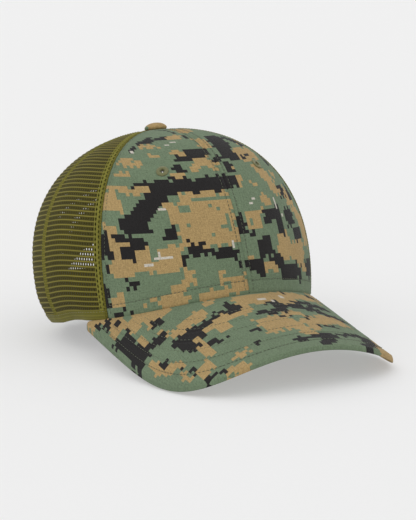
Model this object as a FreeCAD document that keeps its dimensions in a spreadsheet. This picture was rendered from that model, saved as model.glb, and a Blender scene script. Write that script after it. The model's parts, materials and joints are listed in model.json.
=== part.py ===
import FreeCAD, Part
import math
import os
import Sketcher

from FreeCAD import Placement, Rotation, Vector

# A six-panel trucker mesh cap, in millimetres.
# Everything is drawn in the cap's own frame: the hem lies near Z = 0, the front faces -Y and the wearer's
# left is +X. The button axis is vertical, a little behind the middle of the head opening. Each piece is then
# placed as the cap rests on a table: on the rear hem and the two corners of the visor, front tipped up.
# Azimuths turn about the button axis: 0 is the front, 90 the wearer's left, 180 the back.

SIZES = (
    ("crown_front", 96.0, "middle of the head opening to the front of the hem"),
    ("crown_back", 88.0, "middle of the head opening to the back of the hem"),
    ("crown_side", 88.5, "button axis to the side of the hem"),
    ("axis_back", 8.0, "button axis behind the middle of the head opening"),
    ("crown_height", 113.0, "hem to the top of the crown"),
    ("top_hole_radius", 3.0, "hole under the button where the panels meet"),
    ("front_bulge", -5.0, "front rib: how far its lower handle stands out"),
    ("front_rise", 56.0, "front rib: height of its lower handle"),
    ("front_reach", 86.0, "front rib: length of its upper handle"),
    ("side_bulge", 20.0, "side rib: how far its lower handle stands out"),
    ("side_rise", 86.0, "side rib: height of its lower handle"),
    ("side_reach", 48.5, "side rib: length of its upper handle"),
    ("back_bulge", 23.0, "back rib: how far its lower handle stands out"),
    ("back_rise", 71.0, "back rib: height of its lower handle"),
    ("back_reach", 68.0, "back rib: length of its upper handle"),
    ("hem_side_drop", 8.0, "side hem below the front of the hem"),
    ("hem_back_drop", 10.0, "back hem below the front of the hem"),
    ("front_seam", 55.0, "azimuth of the seam between front and side panels"),
    ("side_seam", 90.0, "azimuth of the seam between side and rear panels"),
    ("cloth", 0.8, "thickness of a crown panel"),
    ("layer_gap", 0.1, "clearance between sewn layers"),
    ("backing", 1.0, "thickness of the buckram"),
    ("tape", 0.6, "thickness of seam tape and binding"),
    ("tape_width", 12.0, "width of seam tape"),
    ("tape_top_radius", 21.0, "seam tapes stop this far from the button axis"),
    ("band", 1.0, "thickness of the sweatband"),
    ("band_top", 27.0, "top edge of the sweatband"),
    ("band_end", 130.0, "azimuth where the sweatband ends"),
    ("binding_top", 2.0, "top edge of the mesh hem binding"),
    ("visor_slope", 24.4, "fall of the visor towards the front, degrees"),
    ("visor_bend", 110.0, "radius of the visor's upper face"),
    ("visor_length", 72.0, "front of the hem to the front of the visor"),
    ("visor_half_width", 95.0, "half the visor's width, measured along its bend"),
    ("visor_root", 31.0, "front of the cap's middle where the visor ends at each side"),
    ("visor_side_power", 2.2, "squareness of the visor's outline across"),
    ("visor_front_power", 4.8, "squareness of the visor's outline lengthwise"),
    ("visor_cloth", 0.7, "thickness of a visor cover"),
    ("visor_board", 1.9, "thickness of the visor board"),
    ("visor_rim", 0.9, "covers beyond the edge of the board"),
    ("button_radius", 7.5, "top button"),
    ("button_height", 5.0, "top button above the crown"),
    ("button_wall", 1.1, "top button wall"),
    ("rivet_radius", 1.8, "shank through the crown"),
    ("washer_radius", 7.0, "washer inside the crown"),
    ("washer", 0.8, "thickness of the washer"),
    ("eyelet_azimuth", 27.0, "eyelet round the crown from the front seam"),
    ("eyelet_station", 0.53, "eyelet along its rib, hem to top"),
    ("eyelet_radius", 5.0, "embroidered ring of an eyelet"),
    ("eyelet_hole", 1.7, "air hole of an eyelet"),
    ("eyelet_thread", 0.35, "thread round the wall of the air hole"),
    ("eyelet_height", 0.7, "height of the embroidered ring"),
    ("arch_half_width", 52.0, "half the rear opening, at the hem"),
    ("arch_height", 54.0, "height of the rear opening"),
    ("arch_binding", 8.0, "width of the opening's binding"),
    ("strap", 1.2, "thickness of a snap strap"),
    ("strap_width", 18.0, "width of a snap strap"),
    ("strap_bottom", -7.5, "lower edge of the straps"),
    ("strap_bend", 126.5, "radius of the outer strap, middle of its thickness"),
    ("strap_reach", 46.0, "middle of the back to each strap's root, along the bend"),
    ("strap_overlap", 12.5, "middle of the back to each strap's tip, along the bend"),
    ("strap_gap", 0.3, "clearance between the two straps, and at their roots"),
    ("strap_end_radius", 7.0, "rounded corners of a strap's tip"),
    ("tab_length", 16.0, "sewn tab of a strap, along the hem"),
    ("snap_pitch", 8.0, "snap spacing"),
    ("snaps", 7.0, "pegs on one strap and holes in the other"),
    ("peg_radius", 1.6, "snap peg"),
    ("snap_hole_radius", 2.05, "snap hole"),
    ("peg_proud", 0.15, "peg beyond the outer face of the outer strap"),
    ("rest_pitch", 11.22, "tip-up of the front when the cap rests on a table"),
)

LEFT = 1.0
RIGHT = -1.0
SIDES = (("left", LEFT), ("right", RIGHT))

doc = FreeCAD.newDocument("trucker_mesh_cap")
sheet = doc.addObject("Spreadsheet::Sheet", "sizes")
for row, (alias, value, meaning) in enumerate(SIZES, start=1):
    sheet.set(f"A{row}", alias)
    sheet.set(f"B{row}", str(value))
    sheet.set(f"C{row}", meaning)
    sheet.setAlias(f"B{row}", alias)
doc.recompute()


def size(alias):
    """The value of one driving dimension."""
    return float(sheet.get(alias))


# ---------------------------------------------------------------- the crown's shape

def rib_weights(azimuth):
    """Shares of the front, side and back rib at an azimuth."""
    cosine = math.cos(math.radians(azimuth))
    front = max(cosine, 0.0) ** 2
    back = max(-cosine, 0.0) ** 2
    return front, 1.0 - front - back, back


def blended(name, azimuth):
    """A rib dimension at an azimuth."""
    parts = zip(rib_weights(azimuth), ("front", "side", "back"))
    return sum(share * size(f"{where}_{name}") for share, where in parts)


def hem_radius(azimuth):
    """Button axis to the hem: two half ellipses that share their width."""
    cosine = math.cos(math.radians(azimuth))
    sine = math.sin(math.radians(azimuth))
    if cosine >= 0.0:
        reach = size("crown_front") + size("axis_back")
    else:
        reach = size("crown_back") - size("axis_back")
    return 1.0 / math.hypot(cosine / reach, sine / size("crown_side"))


def visor_top(across, along):
    """Height of the visor's upper face at a plan position."""
    bend = size("visor_bend")
    fall = math.tan(math.radians(size("visor_slope"))) * (-along - size("crown_front"))
    return -fall - (bend - math.sqrt(bend ** 2 - across ** 2))


def hem_height(azimuth):
    """The front hem follows the visor, and the rest is nearly level."""
    cosine = math.cos(math.radians(azimuth))
    sine = math.sin(math.radians(azimuth))
    radius = hem_radius(azimuth)
    on_visor = min(max(2.0 * cosine, 0.0), 1.0)
    on_visor = on_visor ** 2 * (3.0 - 2.0 * on_visor)
    back_share = rib_weights(azimuth)[2]
    drop = size("hem_side_drop") + (size("hem_back_drop") - size("hem_side_drop")) * back_share
    along = size("axis_back") - radius * cosine
    return on_visor * visor_top(radius * sine, along) - (1.0 - on_visor) * drop


def rib_poles(azimuth, inset):
    """Radius and height of the four control points of a rib, moved inward by a layer's inset."""
    handle_share = 0.55
    radius = hem_radius(azimuth)
    hem = hem_height(azimuth)
    top = size("crown_height") - inset
    return (
        (radius - inset, hem),
        (radius + blended("bulge", azimuth) - inset, hem / 2.0 + blended("rise", azimuth) - handle_share * inset),
        (blended("reach", azimuth) - handle_share * inset, top),
        (size("top_hole_radius"), top),
    )


def in_plane(azimuth, radius, height):
    """A point of the vertical half-plane at an azimuth."""
    angle = math.radians(azimuth)
    return Vector(radius * math.sin(angle), size("axis_back") - radius * math.cos(angle), height)


def rib_curve(azimuth, inset):
    curve = Part.BezierCurve()
    curve.setPoles([in_plane(azimuth, radius, height) for radius, height in rib_poles(azimuth, inset)])
    return curve


def rib_section(azimuth, outer, inner):
    """Closed outline of a layer between two insets, in the half-plane at an azimuth."""
    outside = rib_curve(azimuth, outer)
    inside = rib_curve(azimuth, inner)
    first = outside.getPoles()
    second = inside.getPoles()
    inside.setPoles(second[::-1])
    edges = [
        outside.toShape(),
        Part.makeLine(first[-1], second[-1]),
        inside.toShape(),
        Part.makeLine(second[0], first[0]),
    ]
    return Part.Wire(edges)


def steps(start, stop, count):
    """Evenly spaced values from start to stop."""
    return [start + (stop - start) * index / count for index in range(count + 1)]


def crown_layer(start, stop, outer, inner, spans):
    """A layer of the crown between two azimuths."""
    sections = [rib_section(azimuth, outer, inner) for azimuth in steps(start, stop, spans)]
    return Part.makeLoft(sections, True, False, False)


def level_slab(top):
    """Everything below a height."""
    reach = 400.0
    bottom = -20.0
    return Part.makeBox(reach, reach, top - bottom, Vector(-reach / 2.0, -reach / 2.0, bottom))


def rear_arch(margin):
    """The rear opening as a solid, wider by a margin all round."""
    width = size("arch_half_width") + margin
    height = size("arch_height") + margin
    base = -size("hem_back_drop")
    start_y = 30.0
    length = 100.0
    turn = Part.Ellipse(Vector(0, start_y, base + height), Vector(width, start_y, base), Vector(0, start_y, base))
    curve = turn.toShape(0.0, 2.0 * math.pi)
    face = Part.Face(Part.Wire([curve]))
    return face.extrude(Vector(0.0, length, 0.0))


# ---------------------------------------------------------------- how pieces are kept

def at_rest(place=Placement()):
    """A placement in the cap's frame, carried to the resting frame before it is lifted onto the table."""
    tip = Placement(Vector(), Rotation(Vector(1, 0, 0), -size("rest_pitch")))
    return tip.multiply(place)


sub_parts = []


def keep_shape(label, shape):
    """A sub-part whose shape is worked out here, in the cap's frame."""
    feature = doc.addObject("Part::Feature", label)
    feature.Label = label
    feature.Shape = shape
    feature.Placement = at_rest()
    sub_parts.append(feature)
    return feature


def new_body(label, place):
    """A PartDesign body with its own local frame in the cap."""
    body = doc.addObject("PartDesign::Body", label)
    body.Label = label
    body.Placement = at_rest(place)
    sub_parts.append(body)
    return body


def new_sketch(body, role, name):
    """A sketch on one of its body's own origin planes."""
    sketch = body.newObject("Sketcher::SketchObject", name)
    plane = next(item for item in body.Origin.OriginFeatures if item.Role == role)
    sketch.AttachmentSupport = [(plane, "")]
    sketch.MapMode = "FlatFace"
    return sketch


def flat(across, up):
    """A point of a sketch."""
    return Vector(across, up, 0.0)


def line(start, stop):
    return Part.LineSegment(flat(*start), flat(*stop))


def arc(start, through, stop):
    return Part.Arc(flat(*start), flat(*through), flat(*stop))


def add_outline(sketch, pieces):
    """Sketch lines and arcs that follow one another round a closed outline, and join their ends."""
    for piece in pieces:
        sketch.addGeometry(piece, False)
    ends = [(index, end) for index in range(len(pieces)) for end in (1, 2)]
    for place, (index, end) in enumerate(ends):
        for other, other_end in ends[place + 1:]:
            if other == index:
                continue
            if sketch.getPoint(index, end).distanceToPoint(sketch.getPoint(other, other_end)) < 1e-6:
                sketch.addConstraint(Sketcher.Constraint("Coincident", index, end, other, other_end))


def corners(points):
    """Straight lines round a closed list of points."""
    return [line(start, stop) for start, stop in zip(points, points[1:] + points[:1])]


def bind_circle(sketch, across, up, alias):
    """A circle whose radius follows a driving dimension."""
    index = sketch.addGeometry(Part.Circle(flat(across, up), Vector(0, 0, 1), size(alias)), False)
    constraint = sketch.addConstraint(Sketcher.Constraint("Radius", index, size(alias)))
    sketch.setExpression(f"Constraints[{constraint}]", f"sizes.{alias}")


def turned(body, sketch, name):
    """A full revolution about the local Z axis."""
    feature = body.newObject("PartDesign::Revolution", name)
    feature.Profile = sketch
    feature.ReferenceAxis = (sketch, ["V_Axis"])
    feature.Angle = 360.0
    return feature


# ---------------------------------------------------------------- crown

def crown_station(azimuth, station, inset=0.0):
    """Point and outward direction on the crown, station 0 at the hem and 1 at the top."""
    curve = rib_curve(azimuth, inset)
    point = curve.value(station)
    up_rib = curve.tangent(station)[0]
    step = 0.5
    beside = rib_curve(azimuth + step, inset).value(station)
    outward = beside.sub(point).cross(up_rib)
    return point, outward.normalize()


def eyelet_place(side):
    """Local frame of an eyelet: origin on the cloth, Z outward."""
    point, outward = crown_station(side * size("eyelet_azimuth"), size("eyelet_station"))
    return Placement(point, Rotation(Vector(0, 0, 1), outward))


def eyelet_drill(side):
    """The hole that an eyelet lines, through every layer of a front panel."""
    length = 12.0
    radius = size("eyelet_hole") + size("eyelet_thread") + size("layer_gap")
    drill = Part.makeCylinder(radius, length, Vector(0, 0, -length / 2.0))
    drill.Placement = eyelet_place(side)
    return drill


def make_crown_panels():
    front = size("front_seam")
    middle = size("side_seam")
    for name, side in SIDES:
        panel = crown_layer(0.0, side * front, 0.0, size("cloth"), 4)
        keep_shape(f"front_panel_{name}", panel.cut(eyelet_drill(side)))
        keep_shape(f"side_mesh_{name}", crown_layer(side * front, side * middle, 0.0, size("cloth"), 3))
        rear = crown_layer(side * middle, side * 180.0, 0.0, size("cloth"), 6)
        keep_shape(f"rear_mesh_{name}", rear.cut(rear_arch(0.0)))


def make_front_backing():
    """Buckram behind each front panel."""
    outer = size("cloth") + size("layer_gap")
    for name, side in SIDES:
        layer = crown_layer(0.0, side * size("front_seam"), outer, outer + size("backing"), 4)
        keep_shape(f"front_backing_{name}", layer.cut(eyelet_drill(side)))


def seam_tape(azimuth, outer):
    """A strip of constant width over a seam, clear of the button."""
    spread = 20.0
    length = 150.0
    height = 200.0
    bottom = -50.0
    layer = crown_layer(azimuth - spread, azimuth + spread, outer, outer + size("tape"), 4)
    width = size("tape_width")
    strip = Part.makeBox(length, width, height, Vector(size("tape_top_radius"), -width / 2.0, bottom))
    strip.Placement = Placement(Vector(0, size("axis_back"), 0), Rotation(Vector(0, 0, 1), azimuth - 90.0))
    return layer.common(strip)


def make_seam_tapes():
    mesh_layer = size("cloth") + size("layer_gap")
    front_layer = mesh_layer + size("backing") + size("layer_gap")
    keep_shape("seam_tape_front", seam_tape(0.0, front_layer))
    for name, side in SIDES:
        keep_shape(f"seam_tape_front_side_{name}", seam_tape(side * size("front_seam"), front_layer))
        keep_shape(f"seam_tape_side_rear_{name}", seam_tape(side * size("side_seam"), mesh_layer))
    above_arch = seam_tape(180.0, mesh_layer).cut(rear_arch(size("arch_binding") + size("strap_gap")))
    keep_shape("seam_tape_rear", above_arch)


def make_bindings():
    """Tape round the rear opening, and the folded hem of the mesh."""
    mesh_layer = size("cloth") + size("layer_gap")
    hem_layer = mesh_layer + size("tape") + size("layer_gap")
    ring = rear_arch(size("arch_binding")).cut(rear_arch(0.0))
    spread = 40.0
    back = crown_layer(180.0 - spread, 180.0 + spread, mesh_layer, mesh_layer + size("tape"), 8)
    keep_shape("opening_binding", back.common(ring))
    past_seam = 5.0
    hem_start = size("front_seam") + past_seam
    for name, side in SIDES:
        hem = crown_layer(side * hem_start, side * size("band_end"), hem_layer, hem_layer + size("tape"), 5)
        keep_shape(f"hem_binding_{name}", hem.common(level_slab(size("binding_top"))))


def sweatband_inset():
    room = 7.0 * size("layer_gap")
    return size("cloth") + size("backing") + size("tape") + room


def make_sweatband():
    """One band round the inside, open at the back."""
    outer = sweatband_inset()
    end = size("band_end")
    ring = crown_layer(-end, end, outer, outer + size("band"), 14)
    keep_shape("sweatband", ring.common(level_slab(size("band_top"))))


# ---------------------------------------------------------------- visor

PLAN_BOTTOM = -120.0
PLAN_HEIGHT = 220.0


def visor_band(upper, lower):
    """The bent, sloping sheet between two depths below the visor's upper face."""
    half_angle = math.radians(62.0)
    start = -10.0
    length = 190.0
    slope = math.tan(math.radians(size("visor_slope")))
    centre = slope * (start + size("crown_front")) - size("visor_bend")

    def on_arc(radius, angle):
        return Vector(radius * math.sin(angle), start, centre + radius * math.cos(angle))

    outside = size("visor_bend") - upper
    inside = size("visor_bend") - lower
    over = Part.Arc(on_arc(outside, -half_angle), on_arc(outside, 0.0), on_arc(outside, half_angle)).toShape()
    under = Part.Arc(on_arc(inside, half_angle), on_arc(inside, 0.0), on_arc(inside, -half_angle)).toShape()
    ends = (
        Part.makeLine(on_arc(outside, half_angle), on_arc(inside, half_angle)),
        Part.makeLine(on_arc(inside, -half_angle), on_arc(outside, -half_angle)),
    )
    face = Part.Face(Part.Wire([over, ends[0], under, ends[1]]))
    return face.extrude(Vector(0.0, -length, -length * slope))


def visor_outline(rim):
    """The visor's plan as a solid, wider by a rim: a squared ellipse, laid over the bend."""
    width = size("visor_half_width") + rim
    reach = size("crown_front") + size("visor_length") - size("visor_root") + rim
    side_power = 2.0 / size("visor_side_power")
    front_power = 2.0 / size("visor_front_power")
    points = []
    for angle in steps(-90.0, 90.0, 36):
        sine = math.sin(math.radians(angle))
        along_bend = math.copysign(width * abs(sine) ** side_power, sine)
        across = size("visor_bend") * math.sin(along_bend / size("visor_bend"))
        forward = reach * abs(math.cos(math.radians(angle))) ** front_power
        points.append(Vector(across, -size("visor_root") - forward, PLAN_BOTTOM))
    curve = Part.BSplineCurve()
    curve.interpolate(points)
    edges = [curve.toShape(), Part.makeLine(points[-1], points[0])]
    return Part.Face(Part.Wire(edges)).extrude(Vector(0.0, 0.0, PLAN_HEIGHT))


def crown_plug(margin):
    """Everything inside the front hem, wider by a margin."""
    middle = Vector(0.0, size("axis_back"), PLAN_BOTTOM)
    forward = Vector(0.0, -size("crown_front") - margin, PLAN_BOTTOM)
    sideways = Vector(size("crown_side") + margin, size("axis_back"), PLAN_BOTTOM)
    outline = Part.Ellipse(forward, sideways, middle).toShape()
    return Part.Face(Part.Wire([outline])).extrude(Vector(0.0, 0.0, PLAN_HEIGHT))


def make_visor():
    gap = size("layer_gap")
    cloth = size("visor_cloth")
    board_top = cloth + gap
    board_bottom = board_top + size("visor_board")
    bottom = board_bottom + gap + cloth
    middle = bottom / 2.0
    board_outline = visor_outline(0.0)
    cover_outline = visor_outline(size("visor_rim")).cut(crown_plug(gap))
    board = visor_band(board_top, board_bottom).common(board_outline).cut(crown_plug(3.0 * gap))
    keep_shape("visor_board", board)
    cavity = visor_band(cloth, board_bottom + gap).common(visor_outline(gap))
    upper = visor_band(0.0, middle - gap / 4.0).common(cover_outline)
    under = visor_band(middle + gap / 4.0, bottom).common(cover_outline)
    keep_shape("visor_upper_cover", upper.cut(cavity))
    keep_shape("visor_under_cover", under.cut(cavity))


# ---------------------------------------------------------------- button and eyelets

def make_button():
    """Domed cap, hollow underneath, on a shank with a washer inside the crown."""
    place = Placement(Vector(0.0, size("axis_back"), size("crown_height")), Rotation())
    radius = size("button_radius")
    height = size("button_height")
    wall = size("button_wall")
    gap = size("layer_gap")
    shoulder = 0.42 * height
    crown_flat = 1.0
    foot = radius - 0.5
    dome = (0.72 * radius, 0.85 * height)
    hollow = (0.62 * radius, 0.80 * height - wall)
    body = new_body("top_button", place)
    sketch = new_sketch(body, "XZ_Plane", "button_profile")
    add_outline(sketch, [
        line((0.0, height - wall), (0.0, height)),
        line((0.0, height), (crown_flat, height)),
        arc((crown_flat, height), dome, (radius, shoulder)),
        line((radius, shoulder), (foot, gap)),
        line((foot, gap), (radius - wall, gap)),
        line((radius - wall, gap), (radius - wall, shoulder)),
        arc((radius - wall, shoulder), hollow, (crown_flat, height - wall)),
        line((crown_flat, height - wall), (0.0, height - wall)),
    ])
    turned(body, sketch, "button_turned")

    below = size("cloth") + size("backing") + 2.0 * gap
    shank = size("rivet_radius")
    washer = size("washer_radius")
    top = height - wall - gap
    body = new_body("button_rivet", place)
    sketch = new_sketch(body, "XZ_Plane", "rivet_profile")
    add_outline(sketch, corners([
        (0.0, top), (shank, top), (shank, -below), (washer, -below),
        (washer, -below - size("washer")), (0.0, -below - size("washer")),
    ]))
    turned(body, sketch, "rivet_turned")


def make_eyelets():
    """Embroidered ring on the cloth, with thread down the wall of its air hole."""
    hole = size("eyelet_hole")
    sleeve = hole + size("eyelet_thread")
    outer = size("eyelet_radius")
    foot = size("layer_gap")
    depth = size("cloth") + size("backing") + size("layer_gap")
    crest = size("eyelet_height")
    for name, side in SIDES:
        body = new_body(f"eyelet_{name}", eyelet_place(side))
        sketch = new_sketch(body, "XZ_Plane", f"eyelet_{name}_profile")
        add_outline(sketch, [
            line((hole, -depth), (sleeve, -depth)),
            line((sleeve, -depth), (sleeve, foot)),
            line((sleeve, foot), (outer, foot)),
            arc((outer, foot), ((outer + hole) / 2.0, crest), (hole, foot)),
            line((hole, foot), (hole, -depth)),
        ])
        turned(body, sketch, f"eyelet_{name}_turned")


# ---------------------------------------------------------------- snap closure

def strap_half_angle():
    """Root of a strap from the middle of the back, round the strap's bend."""
    return size("strap_reach") / size("strap_bend")


def strap_root_inset():
    """The outer strap's mid thickness inside the hem's outer face, where it leaves the crown."""
    return size("cloth") + 3.0 * size("strap_gap") + size("strap") / 2.0


def strap_centre():
    """How far back the centre of the straps' bend lies."""
    across = size("strap_bend") * math.sin(strap_half_angle())
    half_width = size("crown_side") - strap_root_inset()
    depth = size("crown_back") - size("axis_back") - strap_root_inset()
    hem_back = size("axis_back") + depth * math.sqrt(1.0 - (across / half_width) ** 2)
    return hem_back - size("strap_bend") * math.cos(strap_half_angle())


def on_strap(radius, angle):
    """Plan point of a strap in its own frame, the angle in radians from the middle of the back."""
    return radius * math.sin(angle), radius * math.cos(angle)


def strap_blank(label, side, middle_radius):
    """A bent strip with a round root, square at its tip."""
    half = size("strap") / 2.0
    root = side * strap_half_angle()
    tip = -side * size("strap_overlap") / size("strap_bend")
    place = Placement(Vector(0.0, strap_centre(), size("strap_bottom")), Rotation())
    body = new_body(label, place)
    sketch = new_sketch(body, "XY_Plane", f"{label}_outline")
    outside = middle_radius + half
    inside = middle_radius - half
    middle = (root + tip) / 2.0
    beyond_root = root + side * half / middle_radius
    add_outline(sketch, [
        arc(on_strap(outside, root), on_strap(outside, middle), on_strap(outside, tip)),
        line(on_strap(outside, tip), on_strap(inside, tip)),
        arc(on_strap(inside, tip), on_strap(inside, middle), on_strap(inside, root)),
        arc(on_strap(inside, root), on_strap(middle_radius, beyond_root), on_strap(outside, root)),
    ])
    pad = body.newObject("PartDesign::Pad", f"{label}_strip")
    pad.Profile = sketch
    pad.Length = size("strap_width")
    pad.setExpression("Length", "sizes.strap_width")
    doc.recompute()
    tip_point = Vector(*on_strap(middle_radius, tip), 0.0)
    near = 0.05
    tip_edges = []
    for index, edge in enumerate(body.Tip.Shape.Edges, start=1):
        middle_point = edge.CenterOfMass
        level = Vector(middle_point.x, middle_point.y, 0.0)
        if abs(edge.Length - size("strap")) < near and level.distanceToPoint(tip_point) < size("strap"):
            tip_edges.append(f"Edge{index}")
    rounded = body.newObject("PartDesign::Fillet", f"{label}_tip")
    rounded.Base = (pad, tip_edges)
    rounded.Radius = size("strap_end_radius")
    rounded.setExpression("Radius", "sizes.strap_end_radius")
    doc.recompute()
    return body


def snap_row(body, side, alias, radius, feature_type, name):
    """Round features along a strap: the first beside its tip, the rest spaced towards its root."""
    first = math.degrees(side * size("snap_pitch") / size("strap_bend"))
    spacing = math.degrees(size("snap_pitch") / size("strap_bend"))
    sketch = new_sketch(body, "XZ_Plane", f"{name}_circle")
    turn = Rotation(Vector(0, 1, 0), first)
    sketch.AttachmentOffset = Placement(turn.multVec(Vector(0, 0, -radius)), turn)
    bind_circle(sketch, 0.0, size("strap_width") / 2.0, alias)
    before = body.Shape.Volume
    feature = body.newObject(feature_type, name)
    feature.Profile = sketch
    feature.Reversed = feature_type == "PartDesign::Pad"
    row = body.newObject("PartDesign::PolarPattern", f"{name}_row")
    row.Originals = [feature]
    z_axis = next(item for item in body.Origin.OriginFeatures if item.Role == "Z_Axis")
    row.Axis = (z_axis, [""])
    row.Mode = "Spacing"
    row.Offset = spacing
    row.Reversed = side > 0
    row.Occurrences = int(size("snaps"))
    row.setExpression("Occurrences", "sizes.snaps")
    body.Tip = row
    return feature, before


def make_hole_strap():
    body = strap_blank("hole_strap", LEFT, size("strap_bend"))
    drill = 10.0
    start = size("strap_bend") - drill / 2.0
    hole, before = snap_row(body, LEFT, "snap_hole_radius", start, "PartDesign::Pocket", "hole")
    hole.Length = drill
    doc.recompute()
    one_hole = math.pi * size("snap_hole_radius") ** 2 * size("strap")
    check_volume(body, before - size("snaps") * one_hole)


def make_peg_strap():
    middle_radius = size("strap_bend") - size("strap") - size("strap_gap")
    body = strap_blank("peg_strap", RIGHT, middle_radius)
    peg, before = snap_row(body, RIGHT, "peg_radius", middle_radius, "PartDesign::Pad", "peg")
    tip_radius = size("strap_bend") + size("strap") / 2.0 + size("peg_proud")
    peg.Length = tip_radius - middle_radius
    doc.recompute()
    outside = peg.Length.Value - size("strap") / 2.0
    check_volume(body, before + size("snaps") * math.pi * size("peg_radius") ** 2 * outside)


def check_volume(body, expected):
    """A cut or a pad that points the wrong way changes nothing, and this shows it."""
    tolerance = 0.01
    if abs(body.Shape.Volume - expected) > tolerance * expected:
        raise RuntimeError(f"{body.Label}: volume {body.Shape.Volume:.1f}, expected {expected:.1f}")


def strap_root(side, middle_radius):
    """Plan position of the line where a strap bends, in the cap's frame."""
    across, back = on_strap(middle_radius, side * strap_half_angle())
    return Vector(across, strap_centre() + back, 0.0)


def azimuth_of(point):
    return math.degrees(math.atan2(point.x, size("axis_back") - point.y))


def level_section(azimuth, outer, inner):
    """Upright rectangle between two insets of the hem, as tall as a strap."""
    radius = hem_radius(azimuth)
    bottom = size("strap_bottom")
    top = bottom + size("strap_width")
    outline = ((radius - outer, bottom), (radius - outer, top), (radius - inner, top), (radius - inner, bottom))
    return Part.makePolygon([in_plane(azimuth, *corner) for corner in outline + outline[:1]])


def make_tab(label, side, middle_radius):
    """The root of a strap, sewn flat inside the hem."""
    root = strap_root(side, middle_radius)
    azimuth = azimuth_of(root)
    radius = math.hypot(root.x, root.y - size("axis_back"))
    inset = hem_radius(azimuth) - radius
    clear = math.degrees((size("strap") / 2.0 + size("strap_gap")) / radius)
    length = math.degrees(size("tab_length") / radius)
    start = azimuth - side * clear
    half = size("strap") / 2.0
    spans = steps(start, start - side * length, 3)
    sections = [level_section(angle, inset - half, inset + half) for angle in spans]
    keep_shape(label, Part.makeLoft(sections, True, False, False))


def make_closure():
    make_hole_strap()
    make_peg_strap()
    make_tab("hole_strap_tab", LEFT, size("strap_bend"))
    make_tab("peg_strap_tab", RIGHT, size("strap_bend") - size("strap") - size("strap_gap"))


# ---------------------------------------------------------------- build, set down and write

def set_down():
    """Lift the whole cap so that it stands on Z = 0, with its box centred on the Z axis."""
    doc.recompute()
    fineness = 0.05
    box = FreeCAD.BoundBox()
    for item in sub_parts:
        for point in item.Shape.tessellate(fineness)[0]:
            box.add(point)
    lift = Vector(-box.Center.x, -box.Center.y, -box.ZMin)
    for item in sub_parts:
        place = item.Placement
        place.Base = place.Base.add(lift)
        item.Placement = place
    doc.recompute()
    return lift


def report_hinges(lift):
    """The two bend lines in the resting frame."""
    tip = Rotation(Vector(1, 0, 0), -size("rest_pitch"))
    inner = size("strap_bend") - size("strap") - size("strap_gap")
    print("hinge axis", tip.multVec(Vector(0, 0, 1)))
    for label, side, radius in (("hole_strap", LEFT, size("strap_bend")), ("peg_strap", RIGHT, inner)):
        root = strap_root(side, radius)
        root.z = size("strap_bottom") + size("strap_width") / 2.0
        print(label, "root", tip.multVec(root).add(lift))


def write_parts():
    for item in doc.Objects:
        for state in item.State:
            if state in ("Invalid", "Error"):
                raise RuntimeError(f"{item.Name} failed: {item.State}")
    os.makedirs("parts", exist_ok=True)
    for item in sub_parts:
        shape = item.Shape
        if shape.isNull() or not shape.isValid() or not shape.Solids:
            raise RuntimeError(f"{item.Label} has no valid solid")
        shape.exportStep(f"parts/{item.Label}.step")
        print(f"{item.Label:28s} {shape.Volume:10.1f} mm3, {len(shape.Solids)} solid(s)")


make_crown_panels()
make_front_backing()
make_seam_tapes()
make_bindings()
make_sweatband()
make_visor()
make_button()
make_eyelets()
make_closure()
report_hinges(set_down())
write_parts()
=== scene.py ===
import json
import math

import bmesh
import bpy
import numpy as np
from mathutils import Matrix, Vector


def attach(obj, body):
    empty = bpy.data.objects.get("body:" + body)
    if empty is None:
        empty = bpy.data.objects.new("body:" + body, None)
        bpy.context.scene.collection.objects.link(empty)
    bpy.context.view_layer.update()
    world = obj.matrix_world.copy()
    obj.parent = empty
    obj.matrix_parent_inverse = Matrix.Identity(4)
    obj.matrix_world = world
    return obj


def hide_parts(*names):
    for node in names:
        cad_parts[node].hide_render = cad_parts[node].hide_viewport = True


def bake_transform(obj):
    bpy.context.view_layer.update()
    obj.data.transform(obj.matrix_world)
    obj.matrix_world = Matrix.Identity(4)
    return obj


# The looks of a six-panel trucker mesh cap. Lengths are in millimetres in the cap's own frame (hem near
# Z = 0, front towards -Y, wearer's left +X, azimuth 0 at the front) until place() carries them to the
# resting frame.

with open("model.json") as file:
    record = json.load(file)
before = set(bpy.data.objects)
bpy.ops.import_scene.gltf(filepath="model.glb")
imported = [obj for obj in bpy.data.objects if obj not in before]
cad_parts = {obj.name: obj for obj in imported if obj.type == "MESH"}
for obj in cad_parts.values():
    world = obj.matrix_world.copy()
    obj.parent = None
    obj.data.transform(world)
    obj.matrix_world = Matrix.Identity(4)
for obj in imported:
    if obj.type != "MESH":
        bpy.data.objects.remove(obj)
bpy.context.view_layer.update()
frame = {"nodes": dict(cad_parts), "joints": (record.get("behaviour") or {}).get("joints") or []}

# ---------------------------------------------------------------- sizes shared with the CAD parts

MM = 0.001
AXIS_BACK = 8.0
CROWN_SIDE = 88.5
FRONT_REACH = 104.0
BACK_REACH = 80.0
CROWN_TOP = 113.0
TOP_HOLE = 3.0
BULGE = (-5.0, 20.0, 23.0)
RISE = (56.0, 86.0, 71.0)
REACH = (86.0, 48.5, 68.0)
HANDLE = 0.55
HEM_SIDE_DROP = 8.0
HEM_BACK_DROP = 10.0
CROWN_FRONT = 96.0
FRONT_SEAM = 55.0
SIDE_SEAM = 90.0
CLOTH = 0.8
VISOR_SLOPE = math.tan(math.radians(24.4))
VISOR_BEND = 110.0
VISOR_LENGTH = 72.0
VISOR_HALF_WIDTH = 95.0
VISOR_ROOT = 31.0
VISOR_POWERS = (2.2, 4.8)
VISOR_THICK = 3.5
VISOR_ROLL = 1.0
VISOR_TURN_IN = 0.3
VISOR_WRAP = 1.7
BUTTON_RADIUS = 7.5
BUTTON_HEIGHT = 5.0
EYELET_AZIMUTH = 27.0
EYELET_STATION = 0.53
ARCH_HALF_WIDTH = 52.0
ARCH_HEIGHT = 54.0
STRAP = 1.2
STRAP_WIDTH = 18.0
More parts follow.
